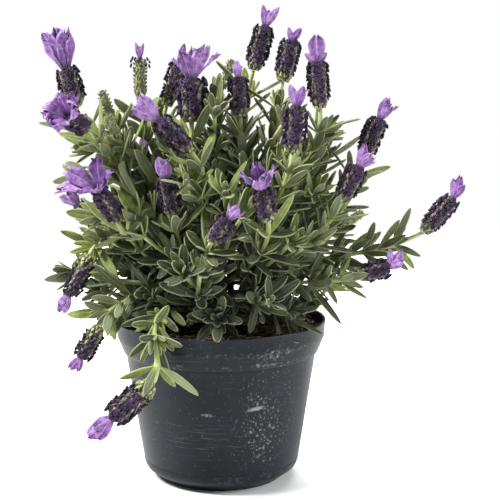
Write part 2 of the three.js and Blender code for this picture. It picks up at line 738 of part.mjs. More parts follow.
// A tuft of bracts over a short post. Each bract grows out of one face of the post and keeps to its
// own share of the way round, so that no bract crosses another.
function bractSolid({ base, top, tip, spread, petals = 4 }, draw) {
  const make = meshMaker();
  const axis = unit(sub(top, base));
  const lean = sub(tip, top);
  const aside = sub(lean, times(axis, dot(lean, axis)));
  const u = length(aside) > 1 ? unit(aside) : across(axis)[0];
  const v = cross(axis, u);
  const foot = plus(top, axis, GAP);
  const half = Math.PI / petals;
  const post = [0, 1].map((k) =>
    Array.from({ length: petals }, (_, j) => {
      const r = BRACT.postRadius * (k ? 0.8 : 1);
      const centre = plus(foot, axis, k * BRACT.postHeight);
      return make.point(around(centre, u, v, r, (2 * j - 1) * half));
    }),
  );
  make.face(...[...post[0]].reverse());
  make.face(...post[1]);
  for (let j = 0; j < petals; j++) {
    const turn = 2 * half * j;
    const out = around([0, 0, 0], u, v, 1, turn);
    const reach = length(lean) * (0.84 + 0.18 * draw());
    const open = spread * (0.8 + 0.4 * draw());
    addBract(make, [post[0][j], post[0][(j + 1) % petals], post[1][(j + 1) % petals], post[1][j]], {
      foot, out, side: cross(axis, out), reach, open, slope: Math.tan(half), axis,
    });
  }
  return make.solid();
}

// A bract: broad, folded a little along its middle, with waved edges and a blunt end.
function addBract(make, [a, b, c, d], { foot, out, side, reach, open, slope, axis }) {
  const ring = (s, width, wave) => {
    const angle = radians(open * (0.4 + 0.6 * s));
    const away = around([0, 0, 0], axis, out, 1, angle);
    const root = plus(plus(foot, axis, BRACT.postHeight / 2), out, BRACT.postRadius * 0.6);
    const at = plus(root, away, reach * s);
    const face = cross(away, side);
    const room = dot(sub(at, foot), out) * slope - 0.55;
    const half = Math.max(0.5, Math.min(width * BRACT.halfWidth, room));
    const edge = plus(at, face, wave);
    const [back, front] = [-1, 1].map((k) => plus(at, face, (k * BRACT.thickness) / 2));
    return [plus(edge, side, -half), back, plus(edge, side, half), front].map(make.point);
  };
  const rings = [ring(0.6, 1, 0.35), ring(1, 0.6, -0.3)];
  const [left, outer, right, inner] = rings[0];
  make.face(d, a, left);
  make.face(a, outer, left);
  make.face(a, b, outer);
  make.face(b, right, outer);
  make.face(b, c, right);
  make.face(c, inner, right);
  make.face(c, d, inner);
  make.face(d, left, inner);
  // The front and the back are split along the same diagonals, so that they can't cross.
  const [left2, outer2, right2, inner2] = rings[1];
  make.face(left, outer, outer2, left2);
  make.face(outer, right, right2, outer2);
  make.face(inner, inner2, right2, right);
  make.face(left, left2, inner2, inner);
  make.face(...rings[1]);
}

// One branch: its trunk, and every shoot, leaf and bud that grows out of it, as one surface.
function branchSolid(trunk, shoots) {
  const make = meshMaker();
  const loops = [{ ...trunk.frames[0], at: trunk.foot }, ...trunk.frames].map(({ t, at, u, v }) =>
    Array.from({ length: TRUNK.sides }, (_, j) => {
      return make.point(around(at, u, v, trunkRadius(t), ((2 * j - 1) * Math.PI) / TRUNK.sides));
    }),
  );
  make.face(...[...loops[0]].reverse());
  loops.slice(1).forEach((high, i) => {
    const low = loops[i];
    const row = i > 1 && i % 2 === 0 ? i / 2 - 1 : -1;
    low.forEach((corner, j) => {
      const k = (j + 1) % TRUNK.sides;
      const patch = [corner, low[k], high[k], high[j]];
      const shoot = row < 0 ? null : shoots.find(({ place }) => place.key === row * TRUNK.sides + j);
      if (shoot) addShoot(make, patch, shoot);
      else make.face(...patch);
    });
  });
  make.face(...loops[loops.length - 1]);
  return make.solid();
}

// ---------------------------------------------------------------- materials and assembly

const paint = (color, roughness) => new THREE.MeshStandardMaterial({ color, roughness, metalness: 0 });
const MATERIALS = {
  pot: paint("#3c4045", 0.55),
  compost: paint("#3a3024", 0.95),
  foliage: paint("#6d7850", 0.8),
  floret: paint("#2e2140", 0.7),
  bract: paint("#9a6fc0", 0.6),
};

const draw = dice(SEED);
const trunks = planTrunks();
const shoots = planShoots(trunks, draw);
planLeaves(shoots, draw);
const root = new THREE.Group();
root.add(named("pot", makePot(), MATERIALS.pot));
root.add(named("compost", makeSoil(trunks), MATERIALS.compost));
trunks.forEach((trunk, i) => {
  const mine = shoots.filter((shoot) => shoot.trunk === i);
  root.add(named("branch_" + (i + 1), branchSolid(trunk, mine), MATERIALS.foliage));
});
const bractDraw = dice(SEED + 1);
BLOOMS.forEach((bloom, i) => {
  const number = String(i + 1).padStart(2, "0");
  root.add(named("spike_" + number, spikeSolid(bloom), MATERIALS.floret));
  root.add(named("bracts_" + number, bractSolid(bloom, bractDraw), MATERIALS.bract));
});

export default root;
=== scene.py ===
# %% [markdown]
# # A butterfly lavender in a nursery pot
# This lesson dresses a plain solid model of a potted lavender. The solids give the pot, the
# compost, six branches with their leaves, and every flower spike with its tuft of bracts. Each
# cell below makes one kind of piece finely, in the place that its solid holds, and says what it
# made.
#
# Lengths in the plan of the plant are millimetres, because that is how one measures a leaf. Blender
# works in metres, so a piece is scaled once, when its object is made.

# %% Load the frame
import json
import math

import bpy
import numpy as np
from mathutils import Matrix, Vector, noise

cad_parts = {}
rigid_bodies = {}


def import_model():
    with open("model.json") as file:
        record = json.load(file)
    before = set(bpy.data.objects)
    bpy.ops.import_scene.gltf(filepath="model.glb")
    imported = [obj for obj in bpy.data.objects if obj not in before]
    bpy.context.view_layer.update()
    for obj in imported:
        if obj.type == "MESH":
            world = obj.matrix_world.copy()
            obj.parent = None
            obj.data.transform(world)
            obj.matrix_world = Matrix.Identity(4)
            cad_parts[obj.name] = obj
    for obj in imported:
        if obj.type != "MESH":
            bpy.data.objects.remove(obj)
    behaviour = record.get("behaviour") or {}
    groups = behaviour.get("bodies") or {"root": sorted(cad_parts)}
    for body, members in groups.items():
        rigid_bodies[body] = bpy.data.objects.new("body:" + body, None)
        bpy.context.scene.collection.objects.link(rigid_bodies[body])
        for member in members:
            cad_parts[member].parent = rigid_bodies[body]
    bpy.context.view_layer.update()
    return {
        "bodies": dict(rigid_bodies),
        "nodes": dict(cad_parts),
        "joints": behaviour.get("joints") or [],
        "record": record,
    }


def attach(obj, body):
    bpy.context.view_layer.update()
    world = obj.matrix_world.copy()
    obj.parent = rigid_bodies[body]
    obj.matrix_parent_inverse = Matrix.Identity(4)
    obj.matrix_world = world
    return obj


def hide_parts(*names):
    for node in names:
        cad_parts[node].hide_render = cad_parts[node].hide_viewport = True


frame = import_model()

# %% [markdown]
# ## Camera
# The photograph was taken with a long lens from a little above the rim. A long lens keeps the far
# side of the pot nearly as wide as the near side, so the ellipse of the rim stays shallow. The tilt
# and the distance were found from that ellipse and from the taper of the pot.

# %% Camera
CAMERA = {"at": (0.0181, -0.7, 0.2427), "tilt": 8.27, "lens": 82.5, "sensor": 36,
          "sees": (0.01, 20)}


def add_object(name, data):
    made = bpy.data.objects.new(name, data)
    bpy.context.scene.collection.objects.link(made)
    return made


camera_data = bpy.data.cameras.new("camera")
camera_data.lens, camera_data.sensor_width = CAMERA["lens"], CAMERA["sensor"]
camera_data.clip_start, camera_data.clip_end = CAMERA["sees"]
camera = add_object("camera", camera_data)
camera.location = CAMERA["at"]
camera.rotation_euler = (math.radians(90 - CAMERA["tilt"]), 0, 0)
bpy.context.scene.camera = camera
print("camera looks along +Y, tilted down", CAMERA["tilt"], "degrees")

# %% [markdown]
# ## Floor, light and background
# A plant is a heap of small surfaces that shade each other. One hard lamp would turn the inside of
# the heap black, and light from everywhere would make it flat. So a pale world fills the shadows
# gently, and three large soft lamps give the leaves a bright side and a dark side. The world looks
# white, as a photographer's paper does, but lights the plant with only a part of that. Colours
# are shown as they are, without a film curve, so that white paper stays white.

# %% Floor
FLOOR = {"radius": 1.2, "sides": 96, "colour": (0.92, 0.92, 0.92, 1), "roughness": 0.9}
floor_mesh = bpy.data.meshes.new("floor")
turns = [2 * math.pi * k / FLOOR["sides"] for k in range(FLOOR["sides"])]
floor_mesh.from_pydata(
    [(FLOOR["radius"] * math.cos(turn), FLOOR["radius"] * math.sin(turn), 0) for turn in turns],
    [], [list(range(FLOOR["sides"]))])
floor_paint = bpy.data.materials.new("floor_paint")
floor_paint.use_nodes = True
sockets = floor_paint.node_tree.nodes["Principled BSDF"].inputs
sockets["Base Color"].default_value = FLOOR["colour"]
sockets["Roughness"].default_value = FLOOR["roughness"]
floor_mesh.materials.append(floor_paint)
add_object("floor", floor_mesh)
print("floor:", 2 * FLOOR["radius"], "m across")

# %% Lamps and background
# Where each lamp stands, how wide it is, its watts and its colour.
LAMPS = {
    "key": {"at": (-1.0, -0.36, 1.35), "wide": 0.5, "watts": 58, "colour": (1.0, 0.985, 0.96)},
    "fill": {"at": (1.3, -0.45, 0.8), "wide": 0.7, "watts": 19, "colour": (0.97, 0.985, 1.0)},
    "back": {"at": (0.2, 1.0, 1.1), "wide": 0.9, "watts": 26, "colour": (1.0, 1.0, 1.0)},
}
AIMED_AT = Vector((0.01, 0, 0.15))
for name, lamp in LAMPS.items():
    data = bpy.data.lights.new(name, "AREA")
    data.size, data.energy, data.color = lamp["wide"], lamp["watts"], lamp["colour"]
    made = add_object(name, data)
    made.location = lamp["at"]
    made.rotation_euler = (AIMED_AT - made.location).to_track_quat("-Z", "Y").to_euler()

WORLD_SEEN, WORLD_LIGHT = 1.0, 0.17
world = bpy.data.worlds.new("studio")
world.use_nodes = True
paper = world.node_tree.nodes["Background"]
paper.inputs["Color"].default_value = (1, 1, 1, 1)
seen = world.node_tree.nodes.new("ShaderNodeLightPath").outputs["Is Camera Ray"]
level = world.node_tree.nodes.new("ShaderNodeMapRange")
level.inputs["To Min"].default_value, level.inputs["To Max"].default_value = WORLD_LIGHT, WORLD_SEEN
world.node_tree.links.new(seen, level.inputs["Value"])
world.node_tree.links.new(level.outputs["Result"], paper.inputs["Strength"])
bpy.context.scene.world = world
bpy.context.scene.view_settings.view_transform = "Standard"
print("lamps:", ", ".join(LAMPS))

# %% [markdown]
# ## Vectors in the plan
# The plan of the plant is worked out with small functions on triples of numbers, in full precision,
# so that every choice falls the same way as in the solids.

# %% Vectors
ORIGIN = (0, 0, 0)


def add(a, b):
    return (a[0] + b[0], a[1] + b[1], a[2] + b[2])


def sub(a, b):
    return (a[0] - b[0], a[1] - b[1], a[2] - b[2])


def times(a, k):
    return (a[0] * k, a[1] * k, a[2] * k)


def plus(a, b, k):
    return (a[0] + b[0] * k, a[1] + b[1] * k, a[2] + b[2] * k)


def dot(a, b):
    return a[0] * b[0] + a[1] * b[1] + a[2] * b[2]


def cross(a, b):
    return (a[1] * b[2] - a[2] * b[1], a[2] * b[0] - a[0] * b[2], a[0] * b[1] - a[1] * b[0])


def length(a):
    return math.sqrt(dot(a, a))


def unit(a):
    return times(a, 1 / length(a))


def mixed(a, b, t):
    return (a[0] + (b[0] - a[0]) * t, a[1] + (b[1] - a[1]) * t, a[2] + (b[2] - a[2]) * t)


def around(at, u, v, r, turn):
    """The point at a distance r from another, so far round from u towards v."""
    return plus(plus(at, u, r * math.cos(turn)), v, r * math.sin(turn))


def across(axis):
    """Two directions square to an axis and to each other."""
    side = unit(cross(axis, (0, 0, 1) if abs(axis[2]) < 0.9 else (1, 0, 0)))
    return side, cross(axis, side)


def dice(seed):
    """A repeatable source of numbers from 0 to 1."""
    state = seed

    def roll():
        nonlocal state
        state = (state * 1664525 + 1013904223) % 2**32
        return state / 2**32

    return roll


def bezier(course, t):
    """A point and a direction on a cubic Bezier curve."""
    s = 1 - t
    rows = list(zip(*course))
    at = tuple(s * s * s * p + 3 * s * s * t * q + 3 * s * t * t * r + t * t * t * u
               for p, q, r, u in rows)
    slope = tuple(s * s * (q - p) + 2 * s * t * (r - q) + t * t * (u - r) for p, q, r, u in rows)
    return at, unit(slope)


quarter = around(ORIGIN, (1, 0, 0), (0, 1, 0), 1, math.pi / 2)
print("a quarter turn of x is", np.round(quarter, 3))

# %% [markdown]
# ## The plant's measures
# These are the same numbers as the solids were grown from: the pot, the woody trunks, the shoots,
# the leaves, and one entry for every flower head. Where a spike starts and ends and where its
# tallest bract ends say how a flower head stands.

# %% Measures of the pot, trunks, stems and leaves
GAP = 0.3
POT = {"rim": 65, "height": 99, "foot": 39, "heel": 48.2, "heel_height": 9.2, "shoulder": 59.1,
       "shoulder_height": 78.9, "collar": 60.4, "band": 64.3, "band_height": 88.8, "wall": 1.5,
       "floor": 2}
DRAIN = {"count": 6, "radius": 4.5, "ring": 28}
SOIL = {"top": 93.5, "mound": 2.5, "ripple": 1.1}
TRUNK = {"count": 6, "ring": 13, "radius": 2.6, "tip": 2.2, "sides": 6, "foot": 80, "bend": 98,
         "top": 150, "reach": 35, "rows": 5, "turn": 30}
STEM = {"base": 1.6, "tip": 1.25}
# A leaf leaves its stem at "open" degrees or up to "more" wider, and curls on by -"back" to
# "curl" - "back" degrees. On top of a leafy shoot it is shorter and steeper.
LEAF = {"shortest": 21, "longest": 32, "half": 3, "thick": 1, "spacing": 19.5, "second": 0.78,
        "top": 0.85, "open": 38, "open_top": 24, "more": 26, "curl": 36, "back": 12, "sway": 0.5}
# Ways to lay a leaf, the best first: turned aside in radians, opened wider in degrees, shortened.
LEAF_TRIES = [(0, 0, 1), (0.35, 0, 1), (-0.35, 0, 1), (0, 16, 0.92), (0, -12, 0.85),
              (0.65, 8, 0.85), (-0.65, 8, 0.85), (0.3, 24, 0.72), (-0.3, -6, 0.66)]
SPIKE_RADIUS, BUD_RADIUS = 7.6, 3.9
BRACT = {"thick": 0.9, "post": 2.5}
# Leafy shoots end on a dome, and some more lean out over the rim of the pot.
DOME = {"width": 72, "depth": 66, "rise": 98, "centre": 112, "round": 2.6, "shoots": 17,
        "turn": 137.5, "first": 64}
SKIRT = {"shoots": 7, "radius": 53, "height": 113, "first": 270}
SEED = 20117
print("trunks", TRUNK["count"], "dome shoots", DOME["shoots"], "rim shoots", SKIRT["shoots"])

# %% Every flower head and bud
def bloom(base, top, tip, spread, size, **course):
    """Where a spike starts and ends, where its tallest bract ends, and how far the bracts open."""
    return {"base": base, "top": top, "tip": tip, "spread": spread, "size": size} | course


BLOOMS = [
    bloom((-86, -8, 229), (-91, -10, 250), (-94, -10, 275), 24, 1.1),
    bloom((-76, -37, 217), (-84, -52, 224), (-92, -62, 229), 68, 1.0),
    bloom((-49, 8, 234), (-49, 8, 257), (-48, 8, 267), 16, 0.72),
    bloom((-17, -32, 203), (-34, -35, 221), (-43, -37, 233), 26, 0.95),
    bloom((-17, -6, 220), (-17, -8, 243), (-13, -10, 262), 40, 1.2),
    bloom((-34, 20, 229), (-26, 20, 255), (-24, 20, 266), 18, 0.9),
    bloom((12, -5, 223), (11, -5, 245), (11, -5, 256), 25, 0.95),
    bloom((20, 12, 251), (27, 12, 276), (30, 12, 289), 27, 1.0),
    bloom((38, 5, 244), (43, 5, 267), (45, 5, 276), 30, 1.0),
    bloom((60, -10, 228), (58, -10, 254), (58, -10, 271), 27, 1.0),
    bloom((43, -32, 203), (45, -32, 228), (45, -33, 241), 30, 1.05),
    bloom((87, 0, 198), (96, 0, 220), (99, 0, 232), 26, 1.0),
    bloom((72, -27, 174), (81, -28, 193), (83, -29, 206), 27, 1.0),
    bloom((124, -6, 153), (141, -6, 173), (144, -6, 185), 22, 0.95,
          rise=(36, -4, 138), bend=(90, -6, 134)),
    bloom((83, -28, 130), (99, -32, 135), (106, -34, 145), 36, 0.95,
          rise=(30, -14, 128), bend=(60, -23, 121)),
    bloom((-59, -40, 164), (-67, -53, 182), (-76, -62, 190), 64, 0.95),
    bloom((-26, -44, 167), (-30, -47, 188), (-29, -49, 200), 29, 0.9),
    bloom((28, -60, 167), (25, -68, 184), (25, -71, 197), 34, 0.95),
    bloom((-3, -62, 155), (6, -70, 168), (11, -73, 176), 25, 0.95),
    bloom((-77, -29, 142), (-88, -34, 120), (-93, -36, 112), 24, 0.85,
          rise=(-24, -14, 156), bend=(-66, -25, 163)),
    bloom((-70, -42, 102), (-80, -46, 85), (-84, -47, 78), 30, 0.9,
          rise=(-30, -22, 126), bend=(-61, -39, 121)),
    bloom((-37, -74, 76), (-58, -77, 58), (-74, -78, 47), 14, 1.0,
          rise=(-60, -40, 124), bend=(-24, -86, 98)),
    bloom((-44, 56, 172), (-52, 66, 192), (-56, 71, 205), 26, 1.0),
    bloom((3, 66, 178), (4, 76, 200), (4, 81, 214), 24, 0.95),
    bloom((48, 58, 168), (57, 68, 187), (61, 73, 199), 28, 1.0),
    bloom((-76, 28, 150), (-92, 34, 165), (-101, 38, 173), 24, 0.9),
]
BUDS = [
    {"base": (-66, 2, 222), "top": (-72, 2, 238)},
    {"base": (-60, -15, 210), "top": (-66, -19, 224)},
    {"base": (1, 25, 240), "top": (7, 26, 257)},
    {"base": (65, 12, 203), "top": (70, 12, 220)},
    {"base": (76, 33, 150), "top": (91, 39, 160)},
]
SPRIGS = [
    {"end": (-88, -21, 129), "along": (-1, 0, -0.12), "rise": (-34, -10, 128),
     "bend": (-64, -17, 131)},
]
print("flower heads", len(BLOOMS), "green buds", len(BUDS), "leafy sprigs", len(SPRIGS))

# %% [markdown]
# ## Room to grow
# Leaves that pass through each other give a plant away as a model. Each stem and leaf is therefore
# also a row of beads, and a new one is let in only where its beads keep clear of all the others.
# Beads are kept in a grid of small cells, so that only near ones are compared.

# %% Beads
CELL = 5  # width of a cell of the grid
BIG = 2.6  # beads above this radius reach into other cells
small_beads, big_beads = {}, {}
NEAR_CELLS = [(i, j, k) for i in (-1, 0, 1) for j in (-1, 0, 1) for k in (-1, 0, 1)]


def cell_of(p):
    return (math.floor(p[0] / CELL), math.floor(p[1] / CELL), math.floor(p[2] / CELL))


def keep(row):
    """Puts beads in the grid. A big bead goes in every cell from which a small one may touch it."""
    for bead in row:
        p, r, _ = bead
        i, j, k = cell_of(p)
        if r <= BIG:
            small_beads.setdefault((i, j, k), []).append(bead)
            continue
        far = math.ceil((r + BIG + 1) / CELL)
        for x in range(i - far, i + far + 1):
            for y in range(j - far, j + far + 1):
                for z in range(k - far, k + far + 1):
                    big_beads.setdefault((x, y, z), []).append(bead)


def is_clear(row, gap, skip=()):
    """True where no bead of another owner is nearer than the gap. Owners in skip don't count."""
    for (x, y, z), r, _ in row:
        i, j, k = cell_of((x, y, z))
        near = list(big_beads.get((i, j, k), ()))
        for a, b, c in NEAR_CELLS:
            near += small_beads.get((i + a, j + b, k + c), ())
        for (px, py, pz), s, owner in near:
            reach = r + s + gap
            if (x - px) ** 2 + (y - py) ** 2 + (z - pz) ** 2 < reach * reach and owner not in skip:
                return False
    return True


def soil_height(x, y):
    """The height of the compost: a low mound with ripples."""
    r = math.hypot(x, y) / POT["rim"]
    ripple = math.sin(x * 0.21 + 1.3) * math.cos(y * 0.17) + 0.6 * math.sin((x - y) * 0.38)
    return SOIL["top"] + SOIL["mound"] * (1 - r * r) + SOIL["ripple"] * ripple


POT_ROOM, WALL_ROOM = 0.4, 2.5


def clear_of_pot(bead):
    """True over the pot, over the compost inside it, and outside its rim above the ground."""
    (x, y, z), r, _ = bead
    out, room = math.hypot(x, y), r + POT_ROOM
    if z - room > POT["height"]:
        return True
    if out + room < POT["rim"] - POT["wall"] - WALL_ROOM:
        return z - room > soil_height(x, y)
    return out - room > POT["rim"] and z - room > 0


print("the compost is", round(soil_height(0, 0), 1), "mm high in the middle")

# %% [markdown]
# ## Trunks and shoots
# An old lavender has a few woody trunks, and every spring they push out square green shoots. Here a
# shoot is a Bezier curve from a free place on a trunk to the point where its flower head starts. If
# the straight way is taken, the curve sways to one side until its beads are clear.

# %% Trunks
def frames_along(shoot, stations):
    """Frames up a curve, each turned as little as can be from the one below it."""
    frames, u = [], None
    for t in stations:
        at, along = bezier(shoot["course"], t)
        if t == 1 and "axis" in shoot:
            along = shoot["axis"]
        if u is None:
            u = shoot["place"]["right"] if "place" in shoot else across(along)[0]
        u = unit(plus(u, along, -dot(u, along)))
        frames.append({"t": t, "at": at, "along": along, "u": u, "v": cross(along, u)})
    return frames


def plan_trunk(i):
    """A trunk's course, and a row of frames where its places for shoots lie."""
    turn = math.radians(TRUNK["turn"] + 360 / TRUNK["count"] * i)

    def at(r, z):
        return (r * math.cos(turn), r * math.sin(turn), z)

    ring, bend = TRUNK["ring"], TRUNK["bend"]
    rise = (TRUNK["top"] - bend) / 3
    course = [at(ring, bend), at(ring + 1, bend + rise), at(ring + 12, bend + 2 * rise),
              at(TRUNK["reach"], TRUNK["top"])]
    trunk = {"turn": turn, "course": course, "foot": at(ring, TRUNK["foot"]), "taken": []}
    stations = [0]
    for row in range(TRUNK["rows"]):
        t = 0.08 + 0.88 * row / (TRUNK["rows"] - 1)
        stations += [t - 0.024, t + 0.024]
    trunk["frames"] = frames_along(trunk, stations)
    keep([(bezier(course, k / 20)[0], TRUNK["radius"], "trunk") for k in range(21)])
    return trunk


trunks = [plan_trunk(i) for i in range(TRUNK["count"])]
print("trunks stand at", [round(math.degrees(trunk["turn"])) for trunk in trunks], "degrees")

# %% Courses of the shoots
def trunk_radius(t):
    return TRUNK["radius"] + (TRUNK["tip"] - TRUNK["radius"]) * t


def free_places(trunk, end):
    """The places on a trunk where no shoot grows yet, those that suit the end best first."""
    wanted = min(0.95, max(0.05, (end[2] - 95) / 140))
    places = []
    for row in range(TRUNK["rows"]):
        low, high = trunk["frames"][1 + 2 * row : 3 + 2 * row]
        for face in range(TRUNK["sides"]):
            turn = face / TRUNK["sides"] * 2 * math.pi
            normal = around(ORIGIN, low["u"], low["v"], 1, turn)
            inside = trunk_radius(low["t"]) * math.cos(math.pi / TRUNK["sides"])
            centre = plus(mixed(low["at"], high["at"], 0.5), normal, inside)
            fit = dot(normal, unit(sub(end, centre))) - 1.1 * abs(low["t"] - wanted)
            places.append({"key": row * TRUNK["sides"] + face, "normal": normal, "centre": centre,
                           "right": cross(low["along"], normal), "fit": fit})
    return sorted((p for p in places if p["key"] not in trunk["taken"]), key=lambda p: -p["fit"])


def nearest_trunk(p):
    side = math.atan2(p[1], p[0])
    nearness = [math.cos(side - trunk["turn"]) for trunk in trunks]
    return nearness.index(max(nearness))


print("places on each trunk:", len(free_places(trunks[0], (0, 0, 200))))

# %% [markdown]
# A course is a smooth curve from the trunk to the shoot's end. The straight one is tried first,
# and then ones that sway aside, until one passes clear of all beads laid so far.

# %% A course that is clear
# How far a course may sway and lift aside, in millimetres, the least first.
SWAYS = (0, 6, -6, 12, -12, 18, -18, 25, -25)
LIFTS = (0, 7, -7, 14, -14)
STEM_GAP = 0.7
# A course leaves the trunk leaning upwards and off its face ("off"), reaches "first" and "last"
# of its length in a straight line at its two ends, and isn't flatter on the face than "flattest".
COURSE = {"up": 0.9, "off": 0.7, "first": 0.32, "last": 0.36, "aside": 0.7, "flattest": 0.35,
          "step": 2.4, "root": 1.15, "root_gap": 0.2}


def plan_course(place, end, along, name, rise, bend, gap):
    """Tries a straight course and then ones that sway, and keeps the first that is clear."""
    start = place["centre"]
    reach = length(sub(end, start))
    upwards = unit((end[0] - start[0], end[1] - start[1], COURSE["up"] * reach))
    lean = unit(plus(upwards, place["normal"], COURSE["off"]))
    side, other = across(unit(sub(end, start)))
    count = math.ceil(reach / COURSE["step"])
    for sway in SWAYS:
        for lift in LIFTS:
            shift = times(add(times(side, sway), times(other, lift)), COURSE["aside"])
            first = rise or plus(start, lean, COURSE["first"] * reach)
            last = bend or plus(end, along, -COURSE["last"] * reach)
            course = [start, add(first, shift), add(last, shift), end]
            if dot(unit(sub(course[1], start)), place["normal"]) < COURSE["flattest"]:
                continue
            owner = "stem of " + name
            row = [(bezier(course, (i + 1) / count)[0], STEM["base"], owner) for i in range(count)]
            root = [(p, COURSE["root"], owner) for p, _, owner in row[:3]]
            free = row[3:]
            if not all(clear_of_pot(bead) for bead in free):
                continue
            if (is_clear(free, gap, [name])
                    and is_clear(root, COURSE["root_gap"], [name, "trunk"])):
                keep(row)
                return {"course": course, "reach": reach, "name": name}
    return None


def grow(kind, which, end, along, leafy, rise=None, bend=None, gap=STEM_GAP):
    """Finds a shoot's place and course. A leafy shoot that has no room is left out."""
    home = nearest_trunk(end)
    for place in free_places(trunks[home], end):
        found = plan_course(place, end, along, kind + str(which), rise, bend, gap)
        if found:
            trunks[home]["taken"].append(place["key"])
            return [found | {"kind": kind, "leafy": leafy, "trunk": home, "place": place,
                             "axis": along}]
    return []


print("ways tried for each course:", len(SWAYS) * len(LIFTS))

# %% Grow the shoots
# The share of its course, from where to where, on which each kind of shoot bears leaves.
HEAD_LEAFY, BUD_LEAFY, SPRIG_LEAFY = (0.36, 0.84), (0.36, 0.9), (0.42, 0.97)
DOME_LEAFY, SKIRT_LEAFY = (0.42, 0.95), (0.5, 0.93)
HEAD_ROOM, BUD_ROOM = 0.4, 0.3


def bloom_beads(head, owner):
    """A flower head's own room: beads along its spike, and wider ones where the bracts open."""
    base, top, tip = head["base"], head["top"], head["tip"]
    girth = SPIKE_RADIUS * head["size"] + HEAD_ROOM
    shares = (0.02, 0.25, 0.5, 0.75, 0.98)
    row = [(mixed(base, top, t), girth if i % 4 else girth * 0.75, owner)
           for i, t in enumerate(shares)]
    spread = math.tan(math.radians(min(head["spread"], 45))) * length(sub(tip, top))
    for t, share in ((0.3, 0.4), (0.6, 0.7), (0.88, 0.85)):
        row.append((mixed(top, tip, t), 3.2 + spread * share, owner))
    return row


draw = dice(SEED)
for i, head in enumerate(BLOOMS):
    keep(bloom_beads(head, f"flower{i}"))
for i, bud in enumerate(BUDS):
    keep([(mixed(bud["base"], bud["top"], t), BUD_RADIUS + BUD_ROOM, f"bud{i}")
          for t in (0.2, 0.5, 0.8, 1)])

shoots = []
for i, head in enumerate(BLOOMS):
    along = unit(sub(head["top"], head["base"]))
    end = plus(head["base"], along, -GAP)
    shoots += grow("flower", i, end, along, HEAD_LEAFY, head.get("rise"), head.get("bend"))
for i, bud in enumerate(BUDS):
    along = unit(sub(bud["top"], bud["base"]))
    shoots += grow("bud", i, bud["base"], along, BUD_LEAFY)
for i, sprig in enumerate(SPRIGS):
    shoots += grow("leafy", DOME["shoots"] + SKIRT["shoots"] + i, sprig["end"],
                   unit(sprig["along"]), SPRIG_LEAFY, sprig["rise"], sprig["bend"])
for i in range(DOME["shoots"]):
    turn = math.radians(DOME["first"] + DOME["turn"] * i)
    high = (i + 0.5) / DOME["shoots"] * 0.97
    wide = (1 - high ** DOME["round"]) ** (1 / DOME["round"]) * (0.92 + 0.12 * draw())
    x, y = math.cos(turn) * wide, math.sin(turn) * wide
    end = (DOME["width"] * x, DOME["depth"] * y, DOME["centre"] + DOME["rise"] * high)
    shoots += grow("leafy", i, end, unit((x, y, 0.45 + high)), DOME_LEAFY)
for i in range(SKIRT["shoots"]):
    turn = math.radians(SKIRT["first"] + 360 * i / SKIRT["shoots"])
    x, y = math.cos(turn), math.sin(turn)
    end = (SKIRT["radius"] * x, SKIRT["radius"] * y, SKIRT["height"] + 10 * (draw() - 0.5))
    shoots += grow("leafy", DOME["shoots"] + i, end, unit((x, y, 0.15)), SKIRT_LEAFY)
print("shoots:", len(shoots))

# %% [markdown]
# ## Leaves
# Lavender leaves stand in whorls: a large pair, and a smaller pair between them. Each is a simple
# curve from the face of the stem to its tip. A leaf that would cut another is turned aside, opened
# or shortened, as a real one is pushed aside by its neighbours.

# %% Plan the leaves
def stem_radius(t):
    return STEM["base"] + (STEM["tip"] - STEM["base"]) * t


def leaf_point(leaf, s):
    start, mid, tip = leaf["start"], leaf["mid"], leaf["tip"]
    return mixed(mixed(start, mid, s), mixed(mid, tip, s), s)


LEAF_BEADS = (0.03, 0.11, 0.22, 0.34, 0.46, 0.58, 0.7, 0.82, 0.91, 0.99)
LEAF_GAP = 0.15


def leaf_beads(leaf, owner):
    """Beads along a leaf: three abreast where it is wide, and one at its foot and its tip."""
    row = []
    for s in LEAF_BEADS:
        half = leaf["half"] * min(1, 0.5 + 1.4 * s, 3.3 * (1.06 - s))
        at = leaf_point(leaf, s)
        for k in (-0.62, 0, 0.62) if 0.2 < s < 0.9 else (0,):
            row.append((plus(at, leaf["side"], k * half), 0.42 * half + 0.3, owner))
    return row


def lay_leaf(frame, out, start, reach, open_by, curl, sway):
    """A leaf that leaves the stem's axis by so many degrees, and curls on from there."""
    along = frame["along"]
    lean = around(ORIGIN, out, cross(along, out), 1, sway)
    mid = around(start, along, lean, reach * 0.5, math.radians(open_by))
    tip = around(mid, along, lean, reach * 0.5, math.radians(open_by + curl))
    return {"start": start, "mid": mid, "tip": tip, "side": cross(along, lean)}


def plan_leaf(shoot, joint, face, share):
    """A leaf on one face of a joint, in the first way that is clear."""
    frame, high = joint["frame"], joint["high"]
    t = frame["t"]
    owner = f"joint {t} of {shoot['name']}"
    top = high > 0.95 and shoot["kind"] == "leafy"
    spread = LEAF["longest"] - LEAF["shortest"]
    long = (LEAF["shortest"] + spread * draw()) * share * (LEAF["top"] if top else 1)
    open_by = LEAF["open_top" if top else "open"] + LEAF["more"] * draw()
    curl = LEAF["curl"] * draw() - LEAF["back"]
    sway = draw() * LEAF["sway"] - LEAF["sway"] / 2
    out = around(ORIGIN, frame["u"], frame["v"], 1, face * math.pi / 2)
    start = plus(frame["at"], out, stem_radius(t) * math.sqrt(0.5))
    for aside, wider, shrink in LEAF_TRIES:
        reach = long * shrink
        leaf = lay_leaf(frame, out, start, reach, open_by + wider, curl, sway + aside)
        leaf["half"] = LEAF["half"] * (0.6 + 0.4 * (reach / LEAF["longest"]))
        row = leaf_beads(leaf, owner)
        if not is_clear(row[:2], LEAF_GAP, ["stem of " + shoot["name"], owner]):
            continue
        if all(clear_of_pot(bead) for bead in row) and is_clear(row[2:], LEAF_GAP):
            keep(row)
            return leaf | {"high": high}
    return None


print("ways tried for each leaf:", len(LEAF_TRIES))

